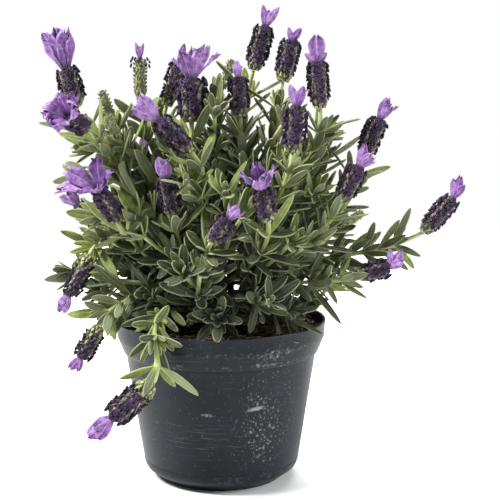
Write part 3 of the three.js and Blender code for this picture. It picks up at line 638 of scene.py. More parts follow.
# %% [markdown]
# Every joint gets a large pair of leaves and then a small pair across it, as far as there is room.

# %% Lay the leaves of the solids
for shoot in shoots:
    low, high = shoot["leafy"]
    count = max(2, math.floor(shoot["reach"] * (high - low) / LEAF["spacing"] + 0.5) + 1)
    heights = [low + (high - low) * i / (count - 1) for i in range(count)]
    shoot["joints"] = [
        {"frame": frame, "turn": i % 2, "high": i / (count - 1), "leaves": []}
        for i, frame in enumerate(frames_along(shoot, [0, *heights])[1:])
    ]
most = max(len(shoot["joints"]) for shoot in shoots)
# The large pairs come first, from the tips down, and the small pairs fill the room they leave.
for pair in (0, 1):
    for down in range(1, most + 1):
        for shoot in shoots:
            if down > len(shoot["joints"]):
                continue
            joint = shoot["joints"][-down]
            if pair and joint["high"] == 0:
                continue
            for half in (0, 2):
                face = (half + pair + joint["turn"]) % 4
                leaf = plan_leaf(shoot, joint, face, LEAF["second"] if pair else 1)
                if leaf:
                    joint["leaves"].append(leaf)
print("leaves of the solids:", sum(len(j["leaves"]) for s in shoots for j in s["joints"]))

# %% [markdown]
# ## Filling the plant
# The solids hold the leaves that give the plant its outline. A real one is denser: there are more
# whorls between those, whole shoots deep inside, bundles of short young leaves in the axils, and a
# tight rosette on every shoot that has no flower. They are too many for the solids, so they are
# only planned here, by the same rule of beads, where room is left.

# %% More whorls
EXTRA_TRIES = [(0, 0, 1), (0.4, 0, 1), (-0.4, 0, 1), (0.2, 16, 0.9), (-0.2, -12, 0.8),
               (0.8, 6, 0.75), (-0.8, 6, 0.75), (0.3, 24, 0.6), (-0.3, -8, 0.55)]
# Shells of the dome, as shares of its size, with the shoots tried in each.
INNER_SHELLS, INNER_FIRST = ((1.02, 26), (0.86, 22), (0.62, 16)), 20
# Shoots that fill thin places near the plant's outline: where each ends, and which way it points.
FILLERS = [
    ((-72, -24, 164), (-0.9, -0.4, 0.15)), ((-48, -12, 200), (-0.3, -0.2, 1)),
    ((-80, 0, 203), (-1, 0, 0.45)), ((-83, -15, 189), (-1, -0.2, 0.25)),
    ((61, 0, 212), (0.6, 0, 0.8)), ((-3, -14, 227), (0, 0, 1)),
    ((40, -16, 222), (0.3, 0, 1)), ((-66, 24, 205), (-0.8, 0.5, 0.6)),
]
# Shoots whose upper part stays bare, so that the stalk under the flower head shows.
BARE = {"flower3": 0.55, "flower15": 0.6, "flower17": 0.7, "flower21": 0.6}
more = dice(SEED + 2)
extra_leaves = {i: [] for i in range(TRUNK["count"])}


def plan_extra(shoot, frame, turn, reach, half, open_by, curl, young, foot_gap=0.0):
    """One more leaf at a joint, in the first way that is clear."""
    if frame["t"] > BARE.get(shoot["name"], 1):
        return
    owner = f"joint {frame['t']} of {shoot['name']}"
    out = around(ORIGIN, frame["u"], frame["v"], 1, turn)
    start = plus(frame["at"], out, stem_radius(frame["t"]) * 0.65)
    sway = 0.5 * (more() - 0.5)
    for aside, wider, shrink in EXTRA_TRIES:
        leaf = lay_leaf(frame, out, start, reach * shrink, open_by + wider, curl, sway + aside)
        leaf["half"] = half * (0.6 + 0.4 * shrink)
        row = leaf_beads(leaf, owner)
        if not is_clear(row[:4], foot_gap, ["stem of " + shoot["name"], owner]):
            continue
        if all(clear_of_pot(bead) for bead in row) and is_clear(row[4:], -0.1, [owner]):
            keep(row)
            extra_leaves[shoot["trunk"]].append(leaf | {"high": young, "shoot": shoot["name"]})
            return


def whorl(shoot, frame, turn, reach, open_by, young):
    """Four leaves round a joint. High up in the light they stand closer to the stem."""
    open_by -= 13 * min(1, max(0, (frame["at"][2] - 125) / 60))
    for k in range(4):
        share = 1 if k % 2 == 0 else 0.8
        long = reach * share * (0.85 + 0.3 * more())
        plan_extra(shoot, frame, turn + k * math.pi / 2, long, LEAF["half"] * (0.62 + long / 72),
                   open_by + 22 * more(), 34 * more() - 12, young)


print("shoots that stay bare high up:", sorted(BARE))

# %% [markdown]
# Whole leafy shoots with whorls of their own fill the thin places near the outline.

# %% Shoots in thin places
def grow_inside(which, end, way):
    """A whole leafy shoot of its own, where there is room for it."""
    low, leafy = 0.3, 0.66
    for shoot in grow("leafy", which, end, unit(way), None, gap=0.1):
        shoot["joints"] = []
        count_up = max(3, round(shoot["reach"] * leafy / 12))
        heights = [low + leafy * k / (count_up - 1) for k in range(count_up)]
        for k, frame in enumerate(frames_along(shoot, [0, *heights])[1:]):
            shoot["joints"].append({"frame": frame, "leaves": []})
            top = k == count_up - 1
            whorl(shoot, frame, (k % 2) * math.pi / 4, 21 if top else 25, 22 if top else 38,
                  0.2 + 0.8 * frame["t"])
        shoots.append(shoot)


solid_shoots = len(shoots)
for i, (end, way) in enumerate(FILLERS):
    grow_inside(900 + i, end, way)
print("fillers grown:", len(shoots) - solid_shoots, "of", len(FILLERS))

# %% Inner shoots and whorls between
for shell, count in INNER_SHELLS:
    for i in range(count):
        turn = math.radians(INNER_FIRST + DOME["turn"] * i)
        high = (i + 0.5) / count * 0.95
        wide = (1 - high ** DOME["round"]) ** (1 / DOME["round"]) * shell
        x, y = math.cos(turn) * wide, math.sin(turn) * wide
        end = (DOME["width"] * x, DOME["depth"] * y, DOME["centre"] + DOME["rise"] * high * shell)
        grow_inside(100 * shell + i, end, (x, y, 0.45 + high))
for shoot in shoots[:solid_shoots]:
    low, high = shoot["leafy"]
    step = (high - low) / max(1, len(shoot["joints"]) - 1)
    between = [low + step * (i + 0.5) for i in range(-2, len(shoot["joints"]) - 1)]
    stations = [t for t in between if t > 0.14]
    for i, frame in enumerate(frames_along(shoot, [0, *stations])[1:]):
        whorl(shoot, frame, (i % 2) * math.pi / 4, 22, 36, 0.4 + 0.6 * frame["t"])
print("shoots:", len(shoots), "more leaves:", [len(row) for row in extra_leaves.values()])

# %% Axils and rosettes
AXIL = {"count": 7, "shortest": 8, "longest": 18, "half": 2.1}
YOUNGEST = 1.3
CROWDED = -0.4  # the feet of young leaves may touch
for shoot in shoots:
    for joint in shoot["joints"]:
        for k in range(AXIL["count"]):
            reach = AXIL["shortest"] + (AXIL["longest"] - AXIL["shortest"]) * more()
            turn = (k + 0.5 + 0.5 * (more() - 0.5)) * math.pi / (AXIL["count"] / 2)
            plan_extra(shoot, joint["frame"], turn, reach,
                       AXIL["half"] * (0.45 + 0.55 * reach / AXIL["longest"]), 16 + 34 * more(),
                       30 * more() - 14, YOUNGEST, CROWDED)
    if shoot["kind"] == "leafy":
        for ring, frame in enumerate(frames_along(shoot, [0, 0.5, 0.97, 1])[2:]):
            for k in range(4):
                plan_extra(shoot, frame, (k + 0.5 * ring + 0.25) * math.pi / 2, 15 - 4 * ring, 1.8,
                           26 - 14 * ring + 8 * more(), 16 * more() - 4, YOUNGEST, CROWDED)
print("with small leaves:", [len(row) for row in extra_leaves.values()])

# %% [markdown]
# ## Building meshes
# Stems, leaves, calyces and bracts are all skins stretched over rings of points, so one helper
# joins rings into faces. Beside its place, every point carries painted values: how far across and
# along its leaf it lies, a shade that differs from leaf to leaf and is lighter on the plant's left
# as painted light, how young that leaf is, lowered on leaves low in the plant to paint their
# shade, and whether the point is on its underside. The materials read those values, so a midrib
# stays on its leaf however the leaf bends.

# %% A piece under construction
PAINT = ("across", "along", "shade", "young", "under")
MM = 0.001  # metres in a millimetre


class Piece:
    """Collects the points, faces and painted values of one piece, then makes its object."""

    def __init__(self):
        self.points, self.faces, self.finish, self.count = [], [], [], 0
        self.paint = {name: [] for name in PAINT}

    def add(self, points, faces, finish=0, **paint):
        points = np.asarray(points, float)
        self.points.append(points)
        self.faces += [[i + self.count for i in face] for face in faces]
        self.finish += [finish] * len(faces)
        for name in PAINT:
            self.paint[name].append(np.broadcast_to(paint.get(name, 0.0), len(points)))
        self.count += len(points)

    def mesh(self, name):
        mesh = bpy.data.meshes.new(name)
        mesh.from_pydata((np.concatenate(self.points) * MM).tolist(), [], self.faces)
        return mesh

    def make(self, name, slot, materials, nodes):
        """Makes the object on the root body, and hides the solids it replaces. The slot is not
        used.
        """
        mesh = self.mesh(name)
        for material in materials:
            mesh.materials.append(material)
        mesh.polygons.foreach_set("material_index", self.finish)
        mesh.polygons.foreach_set("use_smooth", [True] * len(self.faces))
        for key in PAINT:
            values = np.concatenate(self.paint[key]).astype(np.float32)
            mesh.attributes.new(key, "FLOAT", "POINT").data.foreach_set("value", values)
        made = add_object(name, mesh)
        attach(made, "root")
        if nodes:
            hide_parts(*nodes)
        return made


def tube_faces(rings, sides, capped=True):
    """The faces that join rings of points, which run anticlockwise seen from the tip."""
    faces = []
    for i in range(rings - 1):
        for j in range(sides):
            k = (j + 1) % sides
            faces.append([i * sides + j, i * sides + k, (i + 1) * sides + k, (i + 1) * sides + j])
    if capped:
        faces += [list(range(sides))[::-1], [(rings - 1) * sides + j for j in range(sides)]]
    return faces


print("a tube of 3 rings of 6 has", len(tube_faces(3, 6)), "faces")

# %% A blade
# The ring round a leaf, as shares of its half width and of its thickness: a grooved top, edges
# rolled down, and a raised rib underneath.
LEAF_RING = np.array([
    (1.0, -0.5), (0.84, 0.28), (0.45, 0.5), (0.1, 0.3), (0.0, 0.02), (-0.1, 0.3), (-0.45, 0.5),
    (-0.84, 0.28), (-1.0, -0.5), (-0.74, -0.62), (-0.3, -0.3), (0.0, -0.75), (0.3, -0.3),
    (0.74, -0.62),
])
PLAIN_RING = np.array([(1, 0), (0.5, 0.5), (-0.5, 0.5), (-1, 0), (-0.5, -0.5), (0.5, -0.5)])
# Stations along a leaf, its width at each, and which points of its ring are on the underside.
LEAF_STATIONS = np.array([-0.03, 0.08, 0.2, 0.34, 0.5, 0.66, 0.8, 0.9, 0.965, 1.0])
LEAF_WIDTHS = np.array([0.34, 0.48, 0.77, 1.0, 1.11, 1.08, 0.92, 0.67, 0.38, 0.08])
LEAF_UNDER = np.array([0.6, 0, 0, 0, 0, 0, 0, 0, 0.6, 1, 1, 1, 1, 1])


def blade(leaf, ring, stations, widths, thick, roll=0.0, twist=0.0):
    """Points of a closed blade along its curve, and where each lies across and along it."""
    start, mid, tip = (np.array(leaf[key]) for key in ("start", "mid", "tip"))
    side = np.array(leaf["side"])
    s = stations[:, None]
    at = start * (1 - s) ** 2 + mid * 2 * s * (1 - s) + tip * s * s
    slope = (mid - start) * (1 - s) + (tip - mid) * s
    slope /= np.linalg.norm(slope, axis=1)[:, None]
    face = np.cross(slope, side)
    turn = roll * np.minimum(1, 3 * s) + twist * s
    cosine, sine = np.cos(turn), np.sin(turn)
    side, face = side * cosine + face * sine, face * cosine - side * sine
    wide = (widths * leaf["half"])[:, None, None] * ring[None, :, :1]
    high = (thick * np.minimum(1, 0.35 + widths))[:, None, None] * ring[None, :, 1:]
    points = at[:, None] + side[:, None] * wide + face[:, None] * high
    return points.reshape(-1, 3), np.tile(ring[:, 0], len(stations)), np.repeat(stations, len(ring))


LEAF_FACES = tube_faces(len(LEAF_STATIONS), len(LEAF_RING))
print("a fine leaf has", len(LEAF_FACES), "faces")

# %% [markdown]
# ## Finishes
# A material is a recipe of nodes. Effects that several finishes share are node groups with named
# inputs: uneven tone, felt, and the ribs of a blade. A group only puts out colours, masks and
# heights, and the shader stays in the material.

# %% Helpers for node trees
def put(tree, kind, inputs=None, **settings):
    """Adds one node. An input given as a socket is linked, and anything else is set on it."""
    made = tree.nodes.new(kind)
    for name, value in settings.items():
        setattr(made, name, value)
    for name, value in (inputs or {}).items():
        socket = made.inputs[name]
        if isinstance(value, bpy.types.NodeSocket):
            tree.links.new(value, socket)
        else:
            socket.default_value = value
    return made


def maths(tree, operation, a, b=0.0):
    return put(tree, "ShaderNodeMath", {0: a, 1: b}, operation=operation).outputs[0]


def both(tree, first, *masks):
    """Masks and shares multiplied."""
    for mask in masks:
        first = maths(tree, "MULTIPLY", first, mask)
    return first


def either(tree, first, *masks):
    """The strongest of several masks at each point."""
    for mask in masks:
        first = maths(tree, "MAXIMUM", first, mask)
    return first


def ramp(tree, value, low, high, to_low=0.0, to_high=1.0, smooth=True):
    """A value brought from one range to another, and held at both ends."""
    kind = "SMOOTHSTEP" if smooth else "LINEAR"
    made = put(tree, "ShaderNodeMapRange", {0: value, 1: low, 2: high, 3: to_low, 4: to_high},
               interpolation_type=kind)
    return made.outputs[0]


def mix(tree, share, a, b, mode="MIX"):
    """Two colours mixed. Sockets 6 and 7 of the node are its colours."""
    made = put(tree, "ShaderNodeMix", {0: share, 6: a, 7: b}, data_type="RGBA", blend_type=mode)
    return made.outputs[2]


def painted(tree, *names):
    """The painted values of these names, one socket each."""
    return [put(tree, "ShaderNodeAttribute", attribute_name=name).outputs["Fac"]
            for name in names]


def place_on_object(tree):
    return put(tree, "ShaderNodeTexCoord").outputs["Object"]


def noise_at(tree, scale, detail=4.0, rough=0.6, where=None):
    made = put(tree, "ShaderNodeTexNoise", {"Vector": where or place_on_object(tree),
                                            "Scale": scale, "Detail": detail, "Roughness": rough})
    return made.outputs["Fac"]


def colour(text):
    """A colour from its hexadecimal code, as the linear light that a shader wants."""
    parts = [int(text[i : i + 2], 16) / 255 for i in (0, 2, 4)]
    return (*[c / 12.92 if c < 0.04045 else ((c + 0.055) / 1.055) ** 2.4 for c in parts], 1)


def new_group(name, inputs, outputs):
    """A shader node group with named sockets: inputs are {name: value}, outputs {name: kind}."""
    tree = bpy.data.node_groups.new(name, "ShaderNodeTree")
    for key, value in inputs.items():
        kind = "NodeSocketColor" if isinstance(value, tuple) else "NodeSocketFloat"
        tree.interface.new_socket(key, in_out="INPUT", socket_type=kind).default_value = value
    for key, kind in outputs.items():
        tree.interface.new_socket(key, in_out="OUTPUT", socket_type="NodeSocket" + kind)
    return tree, put(tree, "NodeGroupInput").outputs, put(tree, "NodeGroupOutput").inputs


def use(tree, group, inputs):
    return put(tree, "ShaderNodeGroup", inputs, node_tree=group).outputs


print("mid grey 808080 is", round(colour("808080")[0], 3), "in linear light")

# %% Group: uneven tone
UNEVEN, given, result = new_group(
    "uneven tone",
    {"Light": (0.8, 0.8, 0.8, 1.0), "Dark": (0.2, 0.2, 0.2, 1.0), "Scale": 300.0,
     "Sharpness": 0.3},
    {"Color": "Color", "Mask": "Float"},
)
low = maths(UNEVEN, "ADD", given["Sharpness"], 0.1)
high = maths(UNEVEN, "SUBTRACT", 0.9, given["Sharpness"])
spots = ramp(UNEVEN, noise_at(UNEVEN, given["Scale"], 5.0), low, high)
UNEVEN.links.new(spots, result["Mask"])
UNEVEN.links.new(mix(UNEVEN, spots, given["Dark"], given["Light"]), result["Color"])


def toned(tree, base, light, dark, scale, **more):
    """A colour multiplied by uneven tone."""
    tone = use(tree, UNEVEN, {"Light": (*light, 1), "Dark": (*dark, 1), "Scale": scale, **more})
    return mix(tree, 1.0, base, tone["Color"], "MULTIPLY")


print("group:", UNEVEN.name, "with", len(UNEVEN.nodes), "nodes")

# %% Group: felt
FELT, given, result = new_group(
    "felt",
    {"Color": (0.5, 0.5, 0.5, 1.0), "Hair": (0.8, 0.8, 0.75, 1.0), "Scale": 2600.0,
     "Amount": 0.35},
    {"Color": "Color", "Height": "Float"},
)
tufts = ramp(FELT, noise_at(FELT, given["Scale"], 3.0, 0.7), 0.45, 0.7)
share = both(FELT, tufts, given["Amount"])
FELT.links.new(mix(FELT, share, given["Color"], given["Hair"]), result["Color"])
FELT.links.new(tufts, result["Height"])
print("group:", FELT.name, "with", len(FELT.nodes), "nodes")

# %% Group: ribs of a blade
RIBS, given, result = new_group(
    "ribs of a blade",
    {"Across": 0.0, "Along": 0.0, "Midrib": 0.1, "Pairs": 7.0, "Slant": 2.2},
    {"Midrib": "Float", "Veins": "Float", "Edge": "Float"},
)
off = maths(RIBS, "ABSOLUTE", given["Across"])
midrib = ramp(RIBS, off, given["Midrib"], 0.0)
slanted = maths(RIBS, "SUBTRACT", given["Along"], maths(RIBS, "DIVIDE", off, given["Slant"]))
waves = both(RIBS, slanted, given["Pairs"], 2 * math.pi)
crest = ramp(RIBS, maths(RIBS, "COSINE", waves), 0.6, 1.0)
RIBS.links.new(midrib, result["Midrib"])
RIBS.links.new(crest, result["Veins"])
RIBS.links.new(ramp(RIBS, off, 0.74, 0.98), result["Edge"])
print("group:", RIBS.name, "with", len(RIBS.nodes), "nodes")

# %% [markdown]
# ## Leaf and stem finishes
# A lavender leaf is dark green under a coat of grey felt. The felt is thickest on the rolled edges
# and along the midrib, so both read as pale lines. Young leaves are fresher green, and old ones are
# greyer. Leaves low in the plant are painted darker, top and underside, as painted shade. Stems
# are paler than leaves, and brown where they leave the wood.

# %% Leaf finish
def new_material(name, roughness, **sockets):
    """A material with one shader. Its constant sockets are set here, on the shader itself."""
    material = bpy.data.materials.new(name)
    material.use_nodes = True
    tree = material.node_tree
    shader = tree.nodes["Principled BSDF"]
    shader.inputs["Roughness"].default_value = roughness
    for key, value in sockets.items():
        shader.inputs[key.replace("_", " ")].default_value = value
    return material, tree, shader


def finish_with(tree, shader, base, height, strength, distance):
    """Links a colour and a bump, whose distance is in metres, to the shader."""
    tree.links.new(base, shader.inputs["Base Color"])
    bump = put(tree, "ShaderNodeBump",
               {"Height": height, "Strength": strength, "Distance": distance})
    tree.links.new(bump.outputs["Normal"], shader.inputs["Normal"])


leaf_paint, tree, shader = new_material("leaf_felt", 0.7, Sheen_Weight=0.14,
                                        Sheen_Roughness=0.5, Specular_IOR_Level=0.3)
side, along, shade, young, under = painted(tree, *PAINT)
# Old leaves are dark and grey. This dark end also paints the shade on leaves low in the plant.
old_and_shaded = mix(tree, shade, colour("151c0d"), colour("343f22"))
fresh = mix(tree, shade, colour("41531d"), colour("97a54e"))
green = mix(tree, ramp(tree, young, 0.35, 1.1, 0, 0.85), old_and_shaded, fresh)
green = toned(tree, green, (1.1, 1.1, 1.08), (0.72, 0.74, 0.68), 340.0)
# The underside is greyer, and painted darker on leaves low in the plant: painted shade.
below = mix(tree, shade, colour("535e3e"), colour("7d8866"))
below = mix(tree, ramp(tree, young, 0.6, 0.1, 0, 0.5), below, colour("2c3421"))
green = mix(tree, under, green, below)
ribs = use(tree, RIBS, {"Across": side, "Along": along, "Midrib": 0.12, "Pairs": 8.0})
pale = either(tree, ribs["Edge"], both(tree, ribs["Midrib"], 0.5))
pale = both(tree, pale, ramp(tree, young, 0.0, 0.8, 0.4, 0.85))
green = mix(tree, pale, green, colour("a3aa7e"))
foot = both(tree, ramp(tree, along, 0.34, 0.0, 0, 0.75), ramp(tree, young, 0.1, 0.6, 0.4, 1.0))
green = mix(tree, foot, green, colour("9dab58"))
felt = use(tree, FELT, {"Color": green, "Hair": colour("9ea67c"), "Amount": 0.21})
height = maths(tree, "ADD", felt["Height"], both(tree, ribs["Veins"], 0.8))
finish_with(tree, shader, felt["Color"], height, 0.45, 0.0002)
print("finish:", leaf_paint.name, "with", len(tree.nodes), "nodes")

# %% Stem finish
stem_paint, tree, shader = new_material("stem_felt", 0.7, Sheen_Weight=0.2, Sheen_Roughness=0.5)
along, shade = painted(tree, "along", "shade")
bark = use(tree, UNEVEN, {"Light": colour("7a6a50"), "Dark": colour("3d3224"), "Scale": 420.0})
green = mix(tree, shade, colour("5f6c33"), colour("95a05a"))
green = mix(tree, ramp(tree, along, 0.8, 1.0), green, colour("b4bd80"))
body = mix(tree, ramp(tree, along, 0.12, 0.4), bark["Color"], green)
felt = use(tree, FELT, {"Color": body, "Hair": colour("aeb295"), "Amount": 0.3})
finish_with(tree, shader, felt["Color"], felt["Height"], 0.4, 0.0002)
print("finish:", stem_paint.name, "with", len(tree.nodes), "nodes")

# %% [markdown]
# ## Stems and trunks
# A lavender stem is square with rounded corners and swells a little at each joint. It is built as a
# tube of eight-cornered rings that follows its curve, flared where it leaves the trunk.

# %% Stems and trunks
# The eight points of a square stem's ring: each point's share of the radius, and its turn.
SQUARE = [(1.0 if k % 2 == 0 else 0.82, (k - 1) * math.pi / 4) for k in range(8)]


def square_ring(frame, r, cornered=True):
    return [around(frame["at"], frame["u"], frame["v"], r * (share if cornered else 1), turn)
            for share, turn in SQUARE]


# The bare stalk under a flower head is stouter than the shoot, and on some heads much more so.
STALK, PLAIN_STALK = {"flower3": 1.6, "flower9": 1.35, "flower15": 1.5, "flower21": 1.6}, 1.2


def add_stem(piece, shoot):
    """A shoot's stem: flared at its foot, swollen at each joint, and stouter under a head."""
    reach, flowers = shoot["reach"], shoot["kind"] == "flower"
    stalk = STALK.get(shoot["name"], PLAIN_STALK) if flowers else 1
    joints = [joint["frame"]["t"] for joint in shoot["joints"]]
    stations = list(np.linspace(0, 1, max(8, round(reach / 3)) + 1))
    for t in joints:
        stations += [t - 1.4 / reach, t, t + 1.4 / reach]
    stations = sorted(t for t in stations if t <= 1)
    points, values = [], []
    for frame in frames_along(shoot, stations):
        t = frame["t"]
        near = min(abs(t - joint) for joint in joints) * reach
        r = stem_radius(t) + 0.9 * math.exp(-t * reach / 2.5) + 0.35 * math.exp(-(near / 1.4) ** 2)
        r *= 1 + (stalk - 1) * min(1, max(0, (t - 0.7) / 0.15))
        if shoot["kind"] == "leafy" and t > 0.94:
            r *= 0.25 + 12.5 * (1 - t)
        points += square_ring(frame, r)
        values += [t * 1.05 if flowers else t] * 8
    piece.add(points, tube_faces(len(stations), 8), 1, along=values,
              shade=0.86 if flowers else 0.3)


def add_trunk(piece, trunk):
    """A woody trunk from under the compost to its rounded end."""
    stations = np.linspace(0, 1, 15)
    frames = frames_along(trunk, list(stations))
    points = square_ring({**frames[0], "at": trunk["foot"]}, TRUNK["radius"], False)
    for frame in frames:
        wobble = 1 + 0.12 * noise.noise(Vector(frame["at"]) * 0.2)
        points += square_ring(frame, trunk_radius(frame["t"]) * wobble, False)
    end = frames[-1]
    rounded = {**end, "at": plus(end["at"], end["along"], 1.2)}
    points += square_ring(rounded, TRUNK["tip"] * 0.5, False)
    piece.add(points, tube_faces(len(frames) + 2, 8), 1, along=0.0, shade=0.3)


print("turns of a square stem's corners:", [round(turn, 2) for _, turn in SQUARE])

# %% Leaves on their stems
def roll_to(leaf, way):
    """How far to roll a leaf about its own length so that one of its faces looks a given way."""
    face = cross(unit(sub(leaf["tip"], leaf["start"])), leaf["side"])
    turn = math.atan2(-dot(leaf["side"], way), dot(face, way))
    return turn - math.copysign(math.pi, turn) if abs(turn) > math.pi / 2 else turn


# Leaves of drooping and low shoots hang with a face outwards, some more so than others. Those of
# the lowest are narrow too.
WEAK = {"flower13": 0.6, "flower14": 0.6, "flower19": 0.8, "flower20": 0.8, "flower21": 0.8}
SLIM = {"flower19": 0.9, "flower20": 0.9, "flower21": 0.78}
FRONT = (0, -1, 0.2)
LIGHT_ROLL = 0.4
leaf_draw = dice(SEED + 3)


def leaf_roll(leaf, name):
    """Leaves turn their upper face to the light: outwards from the middle of the plant."""
    if name in WEAK:
        return WEAK[name] * roll_to(leaf, FRONT)
    x, y, z = leaf["mid"]
    return LIGHT_ROLL * roll_to(leaf, unit((x, y, 25 + 0.35 * max(0, z - 110))))


def add_leaf(piece, leaf, name):
    roll = leaf_roll(leaf, name)
    shade, twist = leaf_draw(), 1.1 * (leaf_draw() - 0.5)
    # Leaves on the left of the plant are painted paler: painted light, as from the lamp on the
    # left.
    shade = min(1, 0.85 * shade + 0.35 * min(1, max(0, (-20 - leaf["mid"][0]) / 45)))
    young = leaf["high"]
    # Leaves low in the plant get a lower young value, which paints them darker: painted shade.
    if name not in WEAK:
        young *= min(1, max(0.15, (leaf["mid"][2] - 105) / 75))
    # The leaves on the right of the plant are narrower than those on its left.
    narrow = 0.24 * min(1, max(0, (leaf["mid"][0] + 10) / 60))
    widths = LEAF_WIDTHS * (SLIM.get(name, 1.04) - narrow)
    points, side, along = blade(leaf, LEAF_RING, LEAF_STATIONS, widths, LEAF["thick"] * 0.95,
                                roll, twist)
    piece.add(points, LEAF_FACES, 0, across=side, along=along, shade=shade, young=young,
              under=np.tile(LEAF_UNDER, len(LEAF_STATIONS)))


print("shoots with hanging leaves:", ", ".join(WEAK))

# %% Branches
for i, trunk in enumerate(trunks):
    leaves, stems = Piece(), Piece()
    add_trunk(stems, trunk)
    for shoot in shoots:
        if shoot["trunk"] == i:
            add_stem(stems, shoot)
            for joint in shoot["joints"]:
                for leaf in joint["leaves"]:
                    add_leaf(leaves, leaf, shoot["name"])
    for leaf in extra_leaves[i]:
        add_leaf(leaves, leaf, leaf["shoot"])
    name = f"branch_{i + 1}"
    leaves.make(name + "_leaves", "foliage", [leaf_paint, stem_paint], [name])
    stems.make(name + "_stems", "foliage", [leaf_paint, stem_paint], [name])
    print(name, "leaves", len(leaves.points), "faces", len(leaves.faces) + len(stems.faces))

# %% [markdown]
# ## Flower spikes
# A butterfly lavender's spike is a short cob. Woolly calyces stand on it in upright columns, many
# of them under a broad scale, and small near-black violet flowers open from some. Each flower has
# five round lobes, and some have a speck of orange pollen in their throat. All this is real
# geometry: a spike is seen against the white background, and its rough outline is what one
# recognises.

# %% Spike finishes
wool_paint, tree, shader = new_material("calyx_wool", 0.85, Sheen_Weight=0.15,
                                        Sheen_Roughness=0.4)
along, shade, green = painted(tree, "along", "shade", "young")
grey = mix(tree, shade, colour("18111a"), colour("a29893"))
leafy = mix(tree, shade, colour("8b9858"), colour("c9d198"))
body = mix(tree, green, grey, leafy)
tip = both(tree, ramp(tree, along, 0.5, 0.95), ramp(tree, green, 0, 1, 0.95, 0.3, smooth=False))
body = mix(tree, tip, body, colour("22142c"))
body = toned(tree, body, (1.1, 1.1, 1.1), (0.5, 0.46, 0.48), 700.0)
felt = use(tree, FELT, {"Color": body, "Hair": colour("b3aaa6"), "Scale": 3200.0, "Amount": 0.22})
finish_with(tree, shader, felt["Color"], felt["Height"], 0.6, 0.0003)

floret_paint, tree, shader = new_material("floret_velvet", 0.6, Sheen_Weight=0.05,
                                          Sheen_Roughness=0.4, Specular_IOR_Level=0.3)
side, along, shade = painted(tree, "across", "along", "shade")
velvet = mix(tree, shade, colour("0d0713"), colour("3b2150"))
velvet = toned(tree, velvet, (1.2, 1.1, 1.2), (0.6, 0.55, 0.6), 900.0)
pollen = both(tree, ramp(tree, along, 0.2, 0.06), ramp(tree, shade, 0.5, 0.55))
body = mix(tree, pollen, velvet, colour("b07d40"))
ribs = use(tree, RIBS, {"Across": side, "Along": along, "Midrib": 0.3, "Pairs": 2.0})
finish_with(tree, shader, body, ribs["Midrib"], 0.3, 0.0001)
print("finishes:", wool_paint.name, floret_paint.name)

# %% Shapes of a calyx, a scale and a floret
CALYX_STATIONS = [(0.0, 0.45), (0.25, 0.95), (0.6, 1.0), (0.85, 0.75), (1.0, 0.4)]
CALYX_SIDES = 6
CALYX_FACES = tube_faces(len(CALYX_STATIONS), CALYX_SIDES)
SCALE_STATIONS = np.array([0.0, 0.3, 0.62, 0.86, 1.0])
SCALE_WIDTHS = np.array([0.6, 1.0, 0.9, 0.5, 0.1])
SCALE_THICK = 0.5
SCALE_FACES = tube_faces(len(SCALE_STATIONS), len(PLAIN_RING))
LOBES = 5


def add_calyx(piece, at, along, reach, r, shade, green):
    """A small woolly barrel, narrower at its foot and at its mouth."""
    u, v = across(along)
    points, values = [], []
    for s, share in CALYX_STATIONS:
        centre = plus(at, along, reach * s)
        points += [around(centre, u, v, r * share, j * 2 * math.pi / CALYX_SIDES)
                   for j in range(CALYX_SIDES)]
        values += [s] * CALYX_SIDES
    piece.add(points, CALYX_FACES, 0, along=values, shade=shade, young=green)


def add_scale(piece, at, along, out, reach, half, shade, green):
    """A broad scale that cups the outside of a calyx."""
    side = unit(cross(along, out))
    scale = {"start": at, "mid": plus(plus(at, along, reach * 0.5), out, reach * 0.2),
            "tip": plus(at, along, reach), "side": side, "half": half}
    points, wide, far = blade(scale, PLAIN_RING, SCALE_STATIONS, SCALE_WIDTHS, SCALE_THICK)
    piece.add(points, SCALE_FACES, 0, across=wide, along=far * 0.8, shade=shade, young=green)


# Rings of a floret as (radius at each turn, height): the back, the rim of the lobes curled back,
# the bowl and the throat. Each lobe has three turns: the notch before it, and its two shoulders.
LOBE = np.tile([0.0, 1.0, 1.0], LOBES)
FLORET_RINGS = [((0.62 + 0.38 * LOBE) * 0.62, -0.62), (0.62 + 0.38 * LOBE, -0.12),
                (0.5 + 0.18 * LOBE, 0.16), (0.3 + 0 * LOBE, 0.02), (0.16 + 0 * LOBE, -0.25)]
FLORET_TURNS = np.arange(len(LOBE)) * 2 * math.pi / len(LOBE)
FLORET_FACES = tube_faces(len(FLORET_RINGS), len(LOBE))
FLORET_ACROSS = np.tile([1.0, 0.3, -0.3], LOBES * len(FLORET_RINGS))
FLORET_ALONG = np.concatenate([radius for radius, _ in FLORET_RINGS])


def add_floret(piece, at, facing, r, turn, shade):
    """A small flower of five round lobes. Its skin closes round the back of the lobes."""
    u, v = across(facing)
    angles = FLORET_TURNS + turn
    flat = np.cos(angles)[:, None] * np.array(u) + np.sin(angles)[:, None] * np.array(v)
    points = [np.array(at) + flat * (radius * r)[:, None] + np.array(facing) * height * r
              for radius, height in FLORET_RINGS]
    piece.add(np.concatenate(points), FLORET_FACES, 1, along=FLORET_ALONG, across=FLORET_ACROSS,
              shade=shade)


print("faces of a calyx, a scale and a floret:", len(CALYX_FACES), len(SCALE_FACES),
      len(FLORET_FACES))

# %% One flower spike
COLUMNS, ROW_HEIGHT = 8, 2.4
# A woolly column keeps most of its flowers shut, and the next one opens them.
WOOLLY = {"tilt": 62, "reach": 0.42, "opens": 0.42}
FLOWERING = {"tilt": 44, "reach": 0.55, "opens": 1.2}
# The solid core, as stations up the spike and shares of its radius.
CORE = [(0, 0.3), (0.06, 0.52), (0.25, 0.62), (0.5, 0.62), (0.75, 0.58), (0.94, 0.42), (1, 0.25)]
CORE_SIDES, CAP = 8, 6


def swell(s):
    """How wide a spike is at a height, as a share of its radius."""
    return min(1, 0.62 + 2.6 * s, 0.7 + 1.9 * (1 - s))


